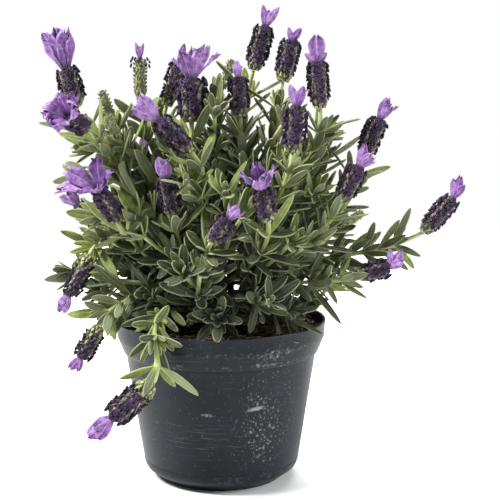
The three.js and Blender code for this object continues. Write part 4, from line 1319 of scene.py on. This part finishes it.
def add_core(piece, base, axis, u, v, long, radius, green):
    points = [around(plus(base, axis, long * s), u, v, radius * share,
                     j * 2 * math.pi / CORE_SIDES) for s, share in CORE for j in range(CORE_SIDES)]
    piece.add(points, tube_faces(len(CORE), CORE_SIDES), 0, along=0.3, shade=0.2, young=green)


print("a spike is", round(swell(0), 2), "of its full width at its foot and",
      round(swell(1), 2), "at its top")

# %% [markdown]
# Row by row, each column gets a calyx, a woolly scale if it is a woolly column or low down, and
# an open floret now and then. A ring of short calyces closes the top.

# %% The calyces, scales and florets of a spike
def build_spike(piece, base, top, radius, habit, roll):
    """Calyces in upright columns round a core, by turns woolly and flowering."""
    open_share, green, open_from, green_foot = habit
    axis = unit(sub(top, base))
    u, v = across(axis)
    long = length(sub(top, base))
    fine = radius / SPIKE_RADIUS
    add_core(piece, base, axis, u, v, long, radius, green)
    rows = max(5, round(long / ROW_HEIGHT))
    for row in range(rows):
        s = (row + 0.35) / rows
        r = radius * swell(s)
        ripe = min(1, green + max(0, green_foot - s) / 0.18)
        for column in range(COLUMNS):
            kind = WOOLLY if column % 2 else FLOWERING
            turn = (column + 0.3 * (row % 2) + 0.25 * (roll() - 0.5)) * 2 * math.pi / COLUMNS
            out = around(ORIGIN, u, v, 1, turn)
            centre = plus(base, axis, long * s + 0.7 * (roll() - 0.5))
            tilt = math.radians(kind["tilt"] - 8 * s + 14 * (roll() - 0.5))
            way = around(ORIGIN, out, axis, 1, tilt)
            foot, reach = plus(centre, out, r * 0.42), r * kind["reach"]
            pale = kind is WOOLLY or open_share == 0
            shade = (0.5 if pale else 0.0) + (0.5 if pale else 0.25) * roll()
            add_calyx(piece, foot, way, reach, 1.15 * fine, shade, ripe)
            if kind is WOOLLY or s < 0.24:
                lean = math.radians(62 + 26 * roll())
                sideways = times(cross(axis, out), 0.5 * (roll() - 0.5))
                scale_way = unit(add(around(ORIGIN, out, axis, 1, lean), sideways))
                add_scale(piece, plus(plus(centre, out, r * 0.6), axis, -0.9), scale_way,
                          times(axis, -1), r * (0.34 + 0.22 * roll()), (0.8 + 0.5 * roll()) * fine,
                          0.3 + 0.7 * roll(), ripe)
            opened = roll() < open_share * kind["opens"] and s > open_from
            size, spin, shade = roll(), roll(), roll()
            if opened:
                stretch = 1.6 if open_from > 0.5 else 0.92 + 0.3 * spin
                facing = unit(add(way, times(out, 0.4 + 1.2 * size)))
                add_floret(piece, plus(foot, way, reach * stretch), facing,
                           (1.7 + 0.6 * size) * fine, spin * 6, shade)
    for column in range(CAP):
        out = around(ORIGIN, u, v, 1, column * 2 * math.pi / CAP + roll())
        way = around(ORIGIN, out, axis, 1, math.radians(66))
        add_calyx(piece, plus(plus(top, axis, -1.0), out, radius * 0.14), way, radius * 0.42,
                  0.95 * fine, 0.2 * roll(), green)


print("calyces of a spike 24 mm long:", round(24 / ROW_HEIGHT) * COLUMNS + CAP)

# %% Every flower spike and bud
# How many of a spike's flowers are open, how green it still is, from where up they open, and how
# far up its foot is bright green, for those that aren't like the others.
OPEN = {2: (0.8, 0.8, 0.7, 0.2), 4: (0.6, 0.05, 0.1, 0.2), 5: (0.75, 0.1, 0.1, 0.4),
        8: (0.85, 0.1, 0.1, 0.3), 19: (0.85, 0.1, 0.1, 0.4), 20: (0.85, 0.1, 0.1, 0.4),
        21: (0.85, 0.08, 0.15, 0.42)}
FULL_BLOOM, IN_BUD = (0.85, 0.0, 0.1, 0.2), (0, 0.75, 1, 0.2)
STOUT, USUAL = 1.12, 0.96
roll = dice(SEED + 4)
for i, head in enumerate(BLOOMS):
    spike = Piece()
    radius = SPIKE_RADIUS * head["size"] * (STOUT if i in (4, 21) else USUAL)
    build_spike(spike, head["base"], head["top"], radius, OPEN.get(i, FULL_BLOOM), roll)
    number = f"{i + 1:02d}"
    spike.make("spike_" + number + "_florets", "floret", [wool_paint, floret_paint],
               ["spike_" + number])
    if i < 3:
        print("spike", number, "faces", len(spike.faces))

for i, bud in enumerate(BUDS):
    young_spike = Piece()
    build_spike(young_spike, bud["base"], bud["top"], BUD_RADIUS * 1.05, IN_BUD, roll)
    young_spike.make(f"bud_{i + 1}", "foliage", [wool_paint, floret_paint], [])
print("buds:", len(BUDS))

# %% [markdown]
# ## Bracts
# The violet flags on top are sterile bracts, thin as tissue. They are veined, folded along the
# middle, ruffled towards the end, and dark at the foot. A bract is seen from both sides and has a
# thin edge, so each is a closed skin.

# %% Bract finish
bract_paint, tree, shader = new_material("bract_tissue", 0.55, Sheen_Weight=0.1,
                                         Specular_IOR_Level=0.25)
side, along, shade = painted(tree, "across", "along", "shade")
violet = mix(tree, shade, colour("7d5299"), colour("a682be"))
violet = toned(tree, violet, (1.28, 1.26, 1.22), (0.55, 0.48, 0.62), 380.0, Sharpness=0.26)
ribs = use(tree, RIBS, {"Across": side, "Along": along, "Midrib": 0.1, "Pairs": 5.0,
                        "Slant": 0.9})
for part, share, tint in (("Veins", 0.5, "543478"), ("Midrib", 0.6, "c2b4cc"),
                          ("Edge", 0.35, "b9a3c8")):
    violet = mix(tree, both(tree, ribs[part], share), violet, colour(tint))
violet = mix(tree, ramp(tree, along, 0.4, 0.04, 0, 0.9), violet, colour("4a3c52"))
finish_with(tree, shader, violet, maths(tree, "ADD", ribs["Veins"], ribs["Midrib"]), 0.5, 0.0003)
print("finish:", bract_paint.name)

# %% One bract
# The ring runs across the front and back again, and the two sheets meet at the edges.
ACROSS_COUNT = 11
BRACT_SUNK = 0.8  # how far a bract's foot is sunk in the top of its spike
BRACT_STATIONS = np.array([0, 0.1, 0.2, 0.3, 0.4, 0.5, 0.6, 0.69, 0.77, 0.84, 0.9, 0.95, 0.985])
BRACT_FACES = tube_faces(len(BRACT_STATIONS), 2 * ACROSS_COUNT - 2)
WIDE = np.linspace(1, -1, ACROSS_COUNT)
BRACT_RING = np.concatenate([WIDE, WIDE[1:-1][::-1]])
BRACT_SIDE = np.concatenate([[0], np.ones(ACROSS_COUNT - 2), [0], -np.ones(ACROSS_COUNT - 2)])


def bract_half(s, widest, pointed):
    """Half the width of a bract, as a share of its widest place."""
    if s < widest:
        return 0.24 + 0.76 * math.sin(s / widest * math.pi / 2) ** 1.2
    return max(0.05, 1 - ((s - widest) / (1.01 - widest)) ** 2) ** (0.5 + 0.35 * pointed)


def add_bract(piece, foot, axis, out, open_by, aside, reach, half, ruffle, roll):
    """One flag: it leans open_by degrees outwards and aside degrees in its own plane."""
    side = cross(axis, out)
    phase, second, shade = roll() * 6.28, roll() * 6.28, roll()
    pointed = min(1, max(0, 1.15 - ruffle))
    widest = 0.66 - 0.16 * pointed
    tip_notch, waves = 0.1 * ruffle * roll(), 3.2 + 1.6 * roll()
    points, a = [], BRACT_RING
    at, step = plus(plus(foot, axis, -BRACT_SUNK), out, BRACT["post"] * 0.45), 0.0
    for s in BRACT_STATIONS:
        bend = 0.4 + 0.6 * s
        away = around(ORIGIN, axis, out, 1, math.radians(open_by * bend))
        away = around(ORIGIN, away, side, 1, math.radians(aside * bend))
        at = plus(at, away, (reach + BRACT_SUNK) * (s - step))
        step = s
        edge_way = np.array(unit(plus(side, away, -dot(side, away))))
        face = np.cross(away, edge_way)
        wide = bract_half(s, widest, pointed) * half
        edge = np.abs(a) ** 1.8
        wave = np.sin(waves * math.pi * s + phase + second * np.sign(a)) * edge
        frill = (np.sin(6.0 * a + phase) + 0.6 * np.sin(13.0 * a + second)) * s**3
        fold = 0.2 * half * (1 - np.abs(a)) * min(1, 2.2 * s) * (1.2 - 0.6 * s)
        lift = 0.24 * half * ruffle * s * wave + 0.17 * half * ruffle * frill - fold
        notch = reach * s**6 * (0.055 * ruffle * (np.cos(7 * a + phase) + np.cos(16 * a + second))
                                - tip_notch * (1 - np.abs(a)) ** 2)
        thick = BRACT["thick"] * 0.2 * BRACT_SIDE
        points.append(np.array(at) + edge_way * (wide * a)[:, None] + face *
                      (lift + thick)[:, None] + np.array(away) * notch[:, None])
    piece.add(np.concatenate(points), BRACT_FACES, 0, shade=shade,
              along=np.repeat(BRACT_STATIONS, len(a)), across=np.tile(a, len(BRACT_STATIONS)))


print("faces of a bract:", len(BRACT_FACES))

# %% [markdown]
# No two tufts are alike, and their outlines show against the white. So each tuft on the front is
# described bract by bract: which way round the spike it stands (0 is to the viewer's right, 90
# towards the viewer), how far it leans out and aside in degrees, its length as a share of the
# tuft's, half its width in millimetres, and how ruffled it is. The back has plain tufts of four.

# %% Tufts of the front
TUFTS = {
    0: [(270, 8, 0, 1.0, 6.4, 0.9), (115, 14, -16, 1.0, 5.9, 0.95), (65, 14, 15, 0.97, 5.9, 0.95),
        (180, 24, 0, 0.9, 5.0, 1.0), (0, 22, 0, 0.86, 4.6, 1.0)],
    1: [(60, 64, 0, 1.15, 6.2, 1.8), (250, 60, 0, 1.0, 6.0, 1.8), (335, 46, 0, 0.95, 5.4, 1.8),
        (155, 60, 0, 0.85, 5.6, 1.7), (15, 60, 0, 1.1, 5.0, 1.7), (205, 58, 0, 0.85, 5.0, 1.7)],
    2: [(90, 4, -17, 1.05, 1.6, 0.2), (90, 8, 19, 1.0, 1.4, 0.2), (270, 10, 0, 0.8, 1.4, 0.2)],
    3: [(90, 14, -26, 1.15, 4.0, 1.2), (90, 9, 8, 1.25, 4.3, 1.0), (270, 16, 12, 1.1, 4.0, 1.0),
        (180, 36, 0, 1.0, 3.4, 1.2)],
    4: [(180, 48, 0, 0.85, 3.8, 1.4), (90, 26, -18, 1.05, 4.2, 1.3), (90, 24, 30, 1.3, 4.6, 1.4),
        (270, 14, -4, 1.05, 4.0, 1.2), (0, 58, 0, 1.1, 4.0, 1.5)],
    5: [(90, 4, 0, 1.1, 2.3, 0.4), (270, 4, 0, 1.0, 2.0, 0.4), (180, 12, 0, 0.7, 1.5, 0.4),
        (0, 12, 0, 0.7, 1.5, 0.4)],
    6: [(90, 4, -4, 1.0, 2.7, 0.5), (270, 6, 4, 0.95, 2.4, 0.4), (180, 16, 0, 0.7, 1.7, 0.5),
        (0, 16, 0, 0.7, 1.7, 0.5)],
    7: [(90, 4, -26, 1.05, 2.3, 0.15), (270, 4, 2, 0.85, 2.6, 0.3), (90, 7, 27, 1.15, 2.6, 0.2),
        (0, 20, 0, 0.75, 1.8, 0.5)],
    8: [(90, 6, -29, 1.0, 1.9, 0.2), (90, 8, 31, 1.12, 2.4, 0.4), (270, 8, 0, 0.6, 1.8, 0.5),
        (180, 20, 0, 0.55, 1.4, 0.5)],
    9: [(90, 3, 3, 1.0, 5.2, 1.0), (270, 6, -8, 0.92, 4.4, 0.9), (90, 8, -62, 0.55, 2.4, 0.3),
        (90, 8, 60, 0.5, 2.2, 0.3)],
    10: [(90, 6, -28, 1.12, 2.8, 0.3), (90, 8, 17, 1.05, 3.0, 0.3), (270, 10, -8, 0.75, 2.6, 0.5),
         (0, 26, 0, 0.7, 1.9, 0.7)],
    11: [(90, 4, 0, 1.2, 3.5, 0.8), (0, 32, 0, 1.05, 3.0, 1.1), (90, 16, 24, 1.0, 3.0, 1.0),
         (270, 8, 0, 1.0, 3.0, 0.8)],
    12: [(90, 6, -12, 1.15, 3.0, 0.6), (90, 28, 28, 0.95, 3.6, 1.1), (0, 50, 0, 0.75, 3.0, 1.1),
         (270, 6, 8, 1.0, 2.8, 0.7)],
    13: [(90, 4, -52, 1.0, 2.6, 0.7), (90, 6, -30, 1.2, 3.0, 0.7), (90, 14, -2, 0.9, 2.5, 0.8),
         (270, 8, 28, 1.0, 2.6, 0.7)],
    14: [(90, 18, -84, 0.9, 2.1, 0.9), (90, 10, -46, 1.15, 2.5, 1.0), (90, 24, -10, 0.9, 2.8, 1.1),
         (270, 14, 30, 0.9, 2.6, 1.0)],
    15: [(172, 66, 0, 1.65, 6.2, 1.2), (222, 48, 0, 1.5, 6.2, 1.2), (310, 44, 0, 1.25, 5.4, 1.3),
         (20, 58, 0, 1.1, 5.2, 1.4), (130, 54, 0, 1.2, 5.6, 1.4), (65, 50, 0, 1.0, 5.0, 1.4)],
    16: [(90, 3, -9, 1.18, 3.6, 0.35), (90, 14, 22, 0.85, 3.4, 0.8), (270, 6, -6, 0.95, 3.4, 0.4),
         (180, 14, 0, 0.8, 2.1, 0.6)],
    17: [(180, 46, 0, 1.15, 4.2, 1.3), (270, 8, 4, 1.15, 4.4, 1.2), (90, 28, -14, 0.8, 4.2, 1.2),
         (0, 36, 0, 1.15, 4.2, 1.3), (90, 14, 24, 0.95, 3.6, 1.2)],
    18: [(90, 4, 5, 1.2, 3.2, 0.8), (0, 26, 0, 1.1, 2.8, 0.9), (270, 8, 0, 1.0, 2.8, 0.7),
         (180, 20, 0, 0.8, 2.2, 0.8)],
    19: [(90, 6, -14, 1.25, 2.6, 0.8), (90, 8, 9, 1.3, 2.7, 0.9), (90, 14, 29, 1.0, 2.4, 0.9),
         (270, 8, 0, 1.1, 2.5, 0.8)],
    20: [(90, 8, -22, 1.1, 2.1, 0.8), (90, 8, 20, 1.25, 2.8, 1.0), (270, 10, 0, 0.8, 2.1, 0.8)],
    21: [(90, 4, 6, 0.95, 4.2, 1.0), (90, 8, -18, 0.8, 3.8, 1.0), (90, 10, 16, 0.65, 4.0, 1.0),
         (270, 6, 0, 1.0, 4.2, 0.8)],
}
print("tufts described:", len(TUFTS), "with", sum(map(len, TUFTS.values())), "bracts")

# %% Make the tufts
PLAIN_TUFT = [(45, 22, 0, 1.05, 4.2, 0.9), (135, 26, 0, 1.0, 3.8, 1.0),
              (225, 20, 0, 1.1, 4.4, 0.8), (315, 28, 0, 0.95, 4.0, 1.0)]
VIEWER = (0, -1, 0.14)
ruffles = dice(SEED + 5)
for i, head in enumerate(BLOOMS):
    base, top = head["base"], head["top"]
    axis = unit(sub(top, base))
    right = unit(cross(axis, VIEWER))
    front = cross(right, axis)
    foot, reach = plus(top, axis, GAP), length(sub(head["tip"], top))
    tuft = Piece()
    for turn, open_by, aside, share, half, ruffle in TUFTS.get(i, PLAIN_TUFT):
        out = around(ORIGIN, right, front, 1, math.radians(turn))
        add_bract(tuft, foot, axis, out, open_by + 6 * (ruffles() - 0.5), aside, reach * share,
                  half, ruffle, ruffles)
    number = f"{i + 1:02d}"
    tuft.make("bracts_" + number + "_flags", "bract", [bract_paint], ["bracts_" + number])
print("tufts of bracts:", len(BLOOMS))

# %% [markdown]
# ## Pot
# The pot is thin grey plastic, drawn in a mould: straight sides, a stepped collar for stacking, and
# a chamfered foot. A turned profile is the plain way to make it. The six drain holes are cut with a
# Boolean modifier, and the skin is smooth except where the profile has a real edge.

# %% Pot shape
POT_SIDES, LONGEST_RUN = 144, 6
INSIDE = [
    (POT["foot"] - POT["wall"], POT["floor"]),
    (POT["heel"] - POT["wall"], POT["heel_height"] + 0.8),
    (POT["shoulder"] - POT["wall"], POT["shoulder_height"] + 0.6),
    (POT["band"] - POT["wall"], POT["band_height"] + 0.6),
    (POT["rim"] - POT["wall"] - 0.1, POT["height"] - 0.5),
]
CORNERS = {
    "foot": (POT["foot"], 0), "heel": (POT["heel"], POT["heel_height"]),
    "shoulder": (POT["shoulder"], POT["shoulder_height"]),
    "collar": (POT["collar"], POT["shoulder_height"]),
    "band": (POT["band"], POT["band_height"]), "rim": (POT["rim"], POT["height"]),
}
# The outside, from the foot up: steps outwards and up from each corner, which round its edge.
EDGES = {
    "foot": [(-1.0, 0), (-0.3, 0.1), (0, 0.5)],
    "heel": [(-1.2, -2.6), (-0.35, -1.0), (0, 0), (0.5, 2.6), (0.35, 3.0), (0.55, 3.6)],
    "shoulder": [(-0.05, -0.4), (0.2, 0)],
    "collar": [(-0.35, 0.1), (0, 0.5), (0.45, 1.4)],
    "band": [(-0.55, -1.2), (-0.1, -0.3), (0.05, 0.6)],
    "rim": [(-0.12, -1.2), (0, -0.6), (-0.25, -0.12), (-0.75, 0), (-1.25, -0.1)],
}
OUTSIDE = [(CORNERS[name][0] + out, CORNERS[name][1] + up)
           for name, steps in EDGES.items() for out, up in steps]


def turned(piece, profile, sides):
    """A closed turned shape. The profile runs up the outside and down the inside, axis to axis."""
    rings = [r for r in profile if r[0] > 0]
    points = [(r * math.cos(2 * math.pi * j / sides), r * math.sin(2 * math.pi * j / sides), z)
              for r, z in rings for j in range(sides)]
    faces = tube_faces(len(rings), sides, capped=False)
    ends = [len(points), len(points) + 1]
    points += [(0, 0, profile[0][1]), (0, 0, profile[-1][1])]
    last = (len(rings) - 1) * sides
    for j in range(sides):
        k = (j + 1) % sides
        faces += [[ends[0], k, j], [ends[1], last + j, last + k]]
    piece.add(points, faces)


def straight_rows(profile, longest):
    """A profile with more rings on its long straight runs, for even faces."""
    rows = [profile[0]]
    for (r0, z0), (r1, z1) in zip(profile, profile[1:]):
        steps = max(1, math.ceil(math.hypot(r1 - r0, z1 - z0) / longest))
        rows += [(r0 + (r1 - r0) * k / steps, z0 + (z1 - z0) * k / steps)
                 for k in range(1, steps + 1)]
    return rows


pot = Piece()
profile = [(0, 0), *OUTSIDE, *INSIDE[::-1], (0, POT["floor"])]
turned(pot, straight_rows(profile, LONGEST_RUN), POT_SIDES)
print("rings of the pot:", len(pot.faces) // POT_SIDES)

# %% [markdown]
# A grower's pot is never clean. Rubbing leaves pale scuffs on the collar's lower edge and the
# heel, hard water dries to chalky drops low on the right, stacking scratches run round the wall,
# and dust lies as a fine pale bloom. Each is a mask from its own texture, and the strongest mask
# shows. The dust grows towards the pot's left and right sides as a painted sheen, and the pale
# collar edge is partly a painted highlight. A dark line under the collar is a painted shadow.

# %% Masks on the pot
pot_paint, tree, shader = new_material("pot_plastic_worn", 0.5, Specular_IOR_Level=0.17)
where = place_on_object(tree)
x, y, z = put(tree, "ShaderNodeSeparateXYZ", {0: where}).outputs


def band(low, high, soft):
    """A mask that is 1 between two heights, in metres."""
    return both(tree, ramp(tree, z, low - soft, low + soft),
                ramp(tree, z, high - soft, high + soft, 1, 0))


def spot(at_x, at_z, wide, high, slant=0.0):
    """A soft oval mask on the front of the pot, in metres, which may run uphill."""
    dx = maths(tree, "SUBTRACT", x, at_x)
    dz = maths(tree, "SUBTRACT", maths(tree, "SUBTRACT", z, at_z), both(tree, dx, slant))
    a, b = maths(tree, "DIVIDE", dx, wide), maths(tree, "DIVIDE", dz, high)
    reach = maths(tree, "ADD", both(tree, a, a), both(tree, b, b))
    return both(tree, ramp(tree, reach, 1.0, 0.0), ramp(tree, y, -0.01, -0.02))


def speckled(scale, low, high, to_low=0.0, to_high=1.0, detail=3.0, rough=0.6):
    """A mask of noise, cut between two levels."""
    return ramp(tree, noise_at(tree, scale, detail, rough, where), low, high, to_low, to_high)


def dried_drops(scale, widest, crowd):
    """Round chalky drops, one in a cell, each kept or not by its own chance."""
    drawn = put(tree, "ShaderNodeMapping", {"Vector": where, "Scale": (1.0, 1.0, 0.8)}).outputs[0]
    cells = put(tree, "ShaderNodeTexVoronoi", {"Vector": drawn, "Scale": scale}).outputs
    chance = put(tree, "ShaderNodeSeparateColor", {0: cells["Color"]}).outputs
    size = ramp(tree, chance[1], 0.0, 1.0, 0.16, widest, smooth=False)
    inside = ramp(tree, maths(tree, "SUBTRACT", size, cells["Distance"]), -0.03, 0.12)
    kept = ramp(tree, maths(tree, "SUBTRACT", crowd, chance[0]), -0.02, 0.04)
    return both(tree, inside, kept, ramp(tree, chance[2], 0.0, 1.0, 0.35, 1.0, smooth=False))


print("kinds of mask:", band.__name__, spot.__name__, speckled.__name__, dried_drops.__name__)

# %% Dust, painted sheen and highlight, rubbing, scratches and drops
# Fine dust, and painted sheen: the mask grows towards the pot's left and right sides, where grazing
# light would show a pale reflection.
sides = ramp(tree, maths(tree, "ABSOLUTE", x), 0.024, 0.055, 0.3, 2.2)
dust_and_sheen = both(tree, speckled(1900.0, 0.56, 0.72), sides, speckled(60.0, 0.3, 0.7, 0.3, 1.0))
# Pale edges: rubbing on the collar's lower edge, the band under the rim, the heel and the lip. On
# the collar's lower edge the pale band is also a painted highlight.
rubbed_and_lit_edges = either(tree, band(0.0792, 0.0822, 0.0008), both(tree, band(0.0876, 0.0902, 0.0007), 0.8),
               both(tree, band(0.006, 0.011, 0.002), 0.4),
               both(tree, band(0.0978, 0.1, 0.0005), 0.6))
grit = speckled(420.0, 0.5, 0.68, detail=8.0, rough=0.75)
scuffs_and_highlight = either(tree, both(tree, rubbed_and_lit_edges, grit, speckled(34.0, 0.36, 0.58)),
               both(tree, spot(0.03, 0.0862, 0.016, 0.007, 0.3),
                    speckled(330.0, 0.52, 0.62, detail=8.0, rough=0.8)))
# Stacking scratches: noise that is stretched round the pot.
long_way = put(tree, "ShaderNodeMapping", {"Vector": where, "Scale": (30.0, 30.0, 2100.0)})
lines = ramp(tree, noise_at(tree, 1.0, 3.0, where=long_way.outputs[0]), 0.6, 0.7)
scratched = either(tree, spot(-0.008, 0.036, 0.03, 0.016, -0.12),
                   speckled(22.0, 0.56, 0.72, 0, 0.5, detail=2.0))
smears = either(tree, spot(0.0215, 0.0545, 0.0065, 0.0016, 0.14),
                both(tree, spot(-0.0065, 0.0515, 0.005, 0.0012, -0.04), 0.7))
smears = both(tree, smears, speckled(500.0, 0.34, 0.5, detail=4.0))
# Hard water: a crowd of drops low on the right, and a few anywhere.
core = spot(0.024, 0.044, 0.013, 0.03)
crowd = either(tree, core, both(tree, spot(0.03, 0.045, 0.03, 0.045), 0.45))
lime = either(tree, dried_drops(430.0, 0.44, ramp(tree, core, 0.0, 0.7, 0.0, 0.85)),
              dried_drops(700.0, 0.44, ramp(tree, crowd, 0.0, 0.7, 0.05, 0.6)),
              dried_drops(1100.0, 0.4, ramp(tree, crowd, 0.0, 0.6, 0.12, 0.4)))
lime = both(tree, lime, ramp(tree, crowd, 0.0, 0.8, 0.4, 0.8))
marks = either(tree, both(tree, scuffs_and_highlight, 0.45), both(tree, lines, scratched, 0.3),
               both(tree, smears, 0.5), both(tree, lime, 0.42), both(tree, dust_and_sheen, 0.14))
print("nodes for the marks:", len(tree.nodes))

# %% Pot finish
plain = use(tree, UNEVEN, {"Light": colour("141c24"), "Dark": colour("0e1318"), "Scale": 38.0,
                           "Sharpness": 0.15})["Color"]
# Painted shadow: a dark line under the collar, where the collar would shade the wall below it.
painted_collar_shadow = band(0.0772, 0.0789, 0.0009)
plain = mix(tree, both(tree, painted_collar_shadow, 0.75), plain, colour("08090a"))
body = mix(tree, marks, plain, colour("b1b4b7"))
tree.links.new(ramp(tree, marks, 0.0, 0.5, 0.42, 0.8), shader.inputs["Roughness"])
grain = maths(tree, "ADD", noise_at(tree, 1400.0, 2.0, where=where), both(tree, marks, 0.8))
finish_with(tree, shader, body, grain, 0.15, 0.0002)
print("finish:", pot_paint.name, "with", len(tree.nodes), "nodes")

# %% Make the pot and drill its holes
DRILL_SIDES, SHARP = 24, math.radians(34)
pot_object = pot.make("pot_body", "pot_plastic", [pot_paint], ["pot"])
pot_object.data.set_sharp_from_angle(angle=SHARP)
drills = Piece()
for i in range(DRAIN["count"]):
    turn = math.radians((i + 0.5) * 360 / DRAIN["count"])
    ring = [around(around((0, 0, z), (1, 0, 0), (0, 1, 0), DRAIN["ring"], turn), (1, 0, 0),
                   (0, 1, 0), DRAIN["radius"], k * 2 * math.pi / DRILL_SIDES)
            for z in (-4, 6) for k in range(DRILL_SIDES)]
    drills.add(ring, tube_faces(2, DRILL_SIDES))
drill = add_object("drill", drills.mesh("drill"))
cut = pot_object.modifiers.new("drain holes", "BOOLEAN")
cut.operation, cut.object, cut.solver = "DIFFERENCE", drill, "EXACT"
bpy.context.view_layer.update()
cut_mesh = bpy.data.meshes.new_from_object(
    pot_object.evaluated_get(bpy.context.evaluated_depsgraph_get()))
pot_object.modifiers.clear()
pot_object.data = cut_mesh
bpy.data.objects.remove(drill)
print("pot faces after the drain holes:", len(cut_mesh.polygons))

# %% [markdown]
# ## Compost
# Potting compost is dark peat with shreds of bark and pale fibres. The surface is a fine disc that
# follows the solid's low mound, roughened with noise. Chips, fibres and twigs are separate small
# shapes that lie on it.

# %% Compost finishes
peat_paint, tree, shader = new_material("peat", 0.95, Specular_IOR_Level=0.2)
crumbs = use(tree, UNEVEN, {"Light": colour("3e3527"), "Dark": colour("100d09"), "Scale": 320.0,
                            "Sharpness": 0.3})
moss = use(tree, UNEVEN, {"Scale": 60.0, "Sharpness": 0.4})["Mask"]
body = mix(tree, both(tree, moss, 0.35), crumbs["Color"], colour("2b2e17"))
finish_with(tree, shader, body, noise_at(tree, 700.0, 6.0), 0.9, 0.0012)

chip_paint, tree, shader = new_material("bark_chip", 0.85, Specular_IOR_Level=0.25)
wood = mix(tree, *painted(tree, "shade"), colour("231a11"), colour("93805f"))
wood = toned(tree, wood, (1.1, 1.05, 1), (0.5, 0.48, 0.45), 500.0)
finish_with(tree, shader, wood, noise_at(tree, 900.0, 5.0), 0.8, 0.0005)
print("finishes:", peat_paint.name, chip_paint.name)

# %% Compost surface
SOIL_SIDES, SOIL_RINGS = 120, 34


def rough_soil(x, y):
    """The height of the compost with its crumbs and lumps."""
    p = Vector((x, y, 0))
    lumps = 0.7 * noise.fractal(p * 0.22, 1.0, 2.0, 4) + 0.35 * noise.noise(p * 0.9)
    return soil_height(x, y) + lumps - 0.3


def soil_ring(r, z=None):
    turns = [2 * math.pi * j / SOIL_SIDES for j in range(SOIL_SIDES)]
    places = [(r * math.cos(turn), r * math.sin(turn)) for turn in turns]
    return [(x, y, rough_soil(x, y) if z is None else z) for x, y in places]


share = (SOIL["top"] - INSIDE[3][1]) / (INSIDE[4][1] - INSIDE[3][1])
brim = INSIDE[3][0] + (INSIDE[4][0] - INSIDE[3][0]) * share - GAP
walls = [(INSIDE[0][0] - 1, POT["floor"] + GAP), (INSIDE[1][0] - GAP, INSIDE[1][1] + 0.3),
         (INSIDE[2][0] - GAP, INSIDE[2][1] + 0.2), (INSIDE[3][0] - GAP, INSIDE[3][1] + 0.3)]
rings = [soil_ring(0.5, POT["floor"] + GAP)] + [soil_ring(r, z) for r, z in walls]
rings += [soil_ring(brim * k / SOIL_RINGS) for k in range(SOIL_RINGS, 0, -1)]
compost = Piece()
compost.add([p for ring in rings for p in ring], tube_faces(len(rings), SOIL_SIDES))
compost.make("compost_bed", "compost", [peat_paint], ["compost"])
print("compost faces:", len(compost.faces))

# %% Chips of bark
CHIPS, FIBRES, TWIGS = 230, 240, 18
CHIPS_TO, STRANDS_TO, WALL = 59, 58, 60.5  # how far out each may start and a strand may run
CHIP_RINGS = ((-1, 0.45), (-0.55, 0.9), (0.1, 1.0), (0.6, 0.8), (1, 0.35))
STRAND_RINGS, STRAND_SIDES = 9, 5
scatter = dice(SEED + 6)


def on_soil(widest):
    r, turn = widest * math.sqrt(scatter()), 2 * math.pi * scatter()
    return r * math.cos(turn), r * math.sin(turn)


def add_chip(piece, reach, wide, thick):
    """A flat shred of bark with uneven edges, lying nearly flat."""
    x, y = on_soil(CHIPS_TO)
    turn, lean = 2 * math.pi * scatter(), 0.5 * (scatter() - 0.5)
    along = unit((math.cos(turn), math.sin(turn), lean))
    side = unit(cross((0, 0, 1), along))
    up = cross(along, side)
    at = (x, y, rough_soil(x, y) + thick * 0.3)
    points = []
    for s, share in CHIP_RINGS:
        centre = plus(at, along, s * reach / 2)
        for a, h in PLAIN_RING:
            jag = 0.75 + 0.5 * scatter()
            points.append(plus(plus(centre, side, a * wide / 2 * share * jag), up, h * thick * jag))
    piece.add(points, tube_faces(len(CHIP_RINGS), len(PLAIN_RING)), 0, shade=scatter())


litter = Piece()
for _ in range(CHIPS):
    add_chip(litter, 2.5 + 5 * scatter() ** 2, 1.2 + 2.4 * scatter(), 0.5 + 0.8 * scatter())
print("faces of the chips:", len(litter.faces))

# %% [markdown]
# Fibres are thin and crooked, twigs thicker and straighter. Both turn away from the pot's wall.

# %% Fibres and twigs
def add_strand(piece, reach, r, curve, shade):
    """A fibre or a twig: a thin tube that wanders over the compost."""
    x, y = on_soil(STRANDS_TO)
    turn = 2 * math.pi * scatter()
    lift, bend = 0.4 + 1.2 * scatter(), curve * (scatter() - 0.5)
    points = []
    for k in range(STRAND_RINGS):
        s = k / (STRAND_RINGS - 1)
        if math.hypot(x, y) > WALL:
            turn += 1.2
        z = rough_soil(x, y) + r * 0.7 + lift * math.sin(math.pi * s)
        way = (math.cos(turn), math.sin(turn), 0)
        across_way = (-way[1], way[0], 0)
        thin = r * (0.55 + 0.45 * math.sin(math.pi * (0.1 + 0.8 * s)))
        points += [around((x, y, z), across_way, (0, 0, 1), thin, j * 2 * math.pi / STRAND_SIDES)
                   for j in range(STRAND_SIDES)]
        x, y = x + way[0] * reach / STRAND_RINGS, y + way[1] * reach / STRAND_RINGS
        turn += bend + 0.25 * (scatter() - 0.5)
    piece.add(points, tube_faces(STRAND_RINGS, STRAND_SIDES), 0, shade=shade)


for _ in range(FIBRES):
    add_strand(litter, 8 + 16 * scatter(), 0.2 + 0.26 * scatter(), 1.1, 0.5 + 0.6 * scatter())
for _ in range(TWIGS):
    add_strand(litter, 14 + 16 * scatter(), 0.5 + 0.5 * scatter(), 0.16, 0.25 + 0.5 * scatter())
litter.make("compost_litter", "compost", [chip_paint], [])
print("litter faces:", len(litter.faces))
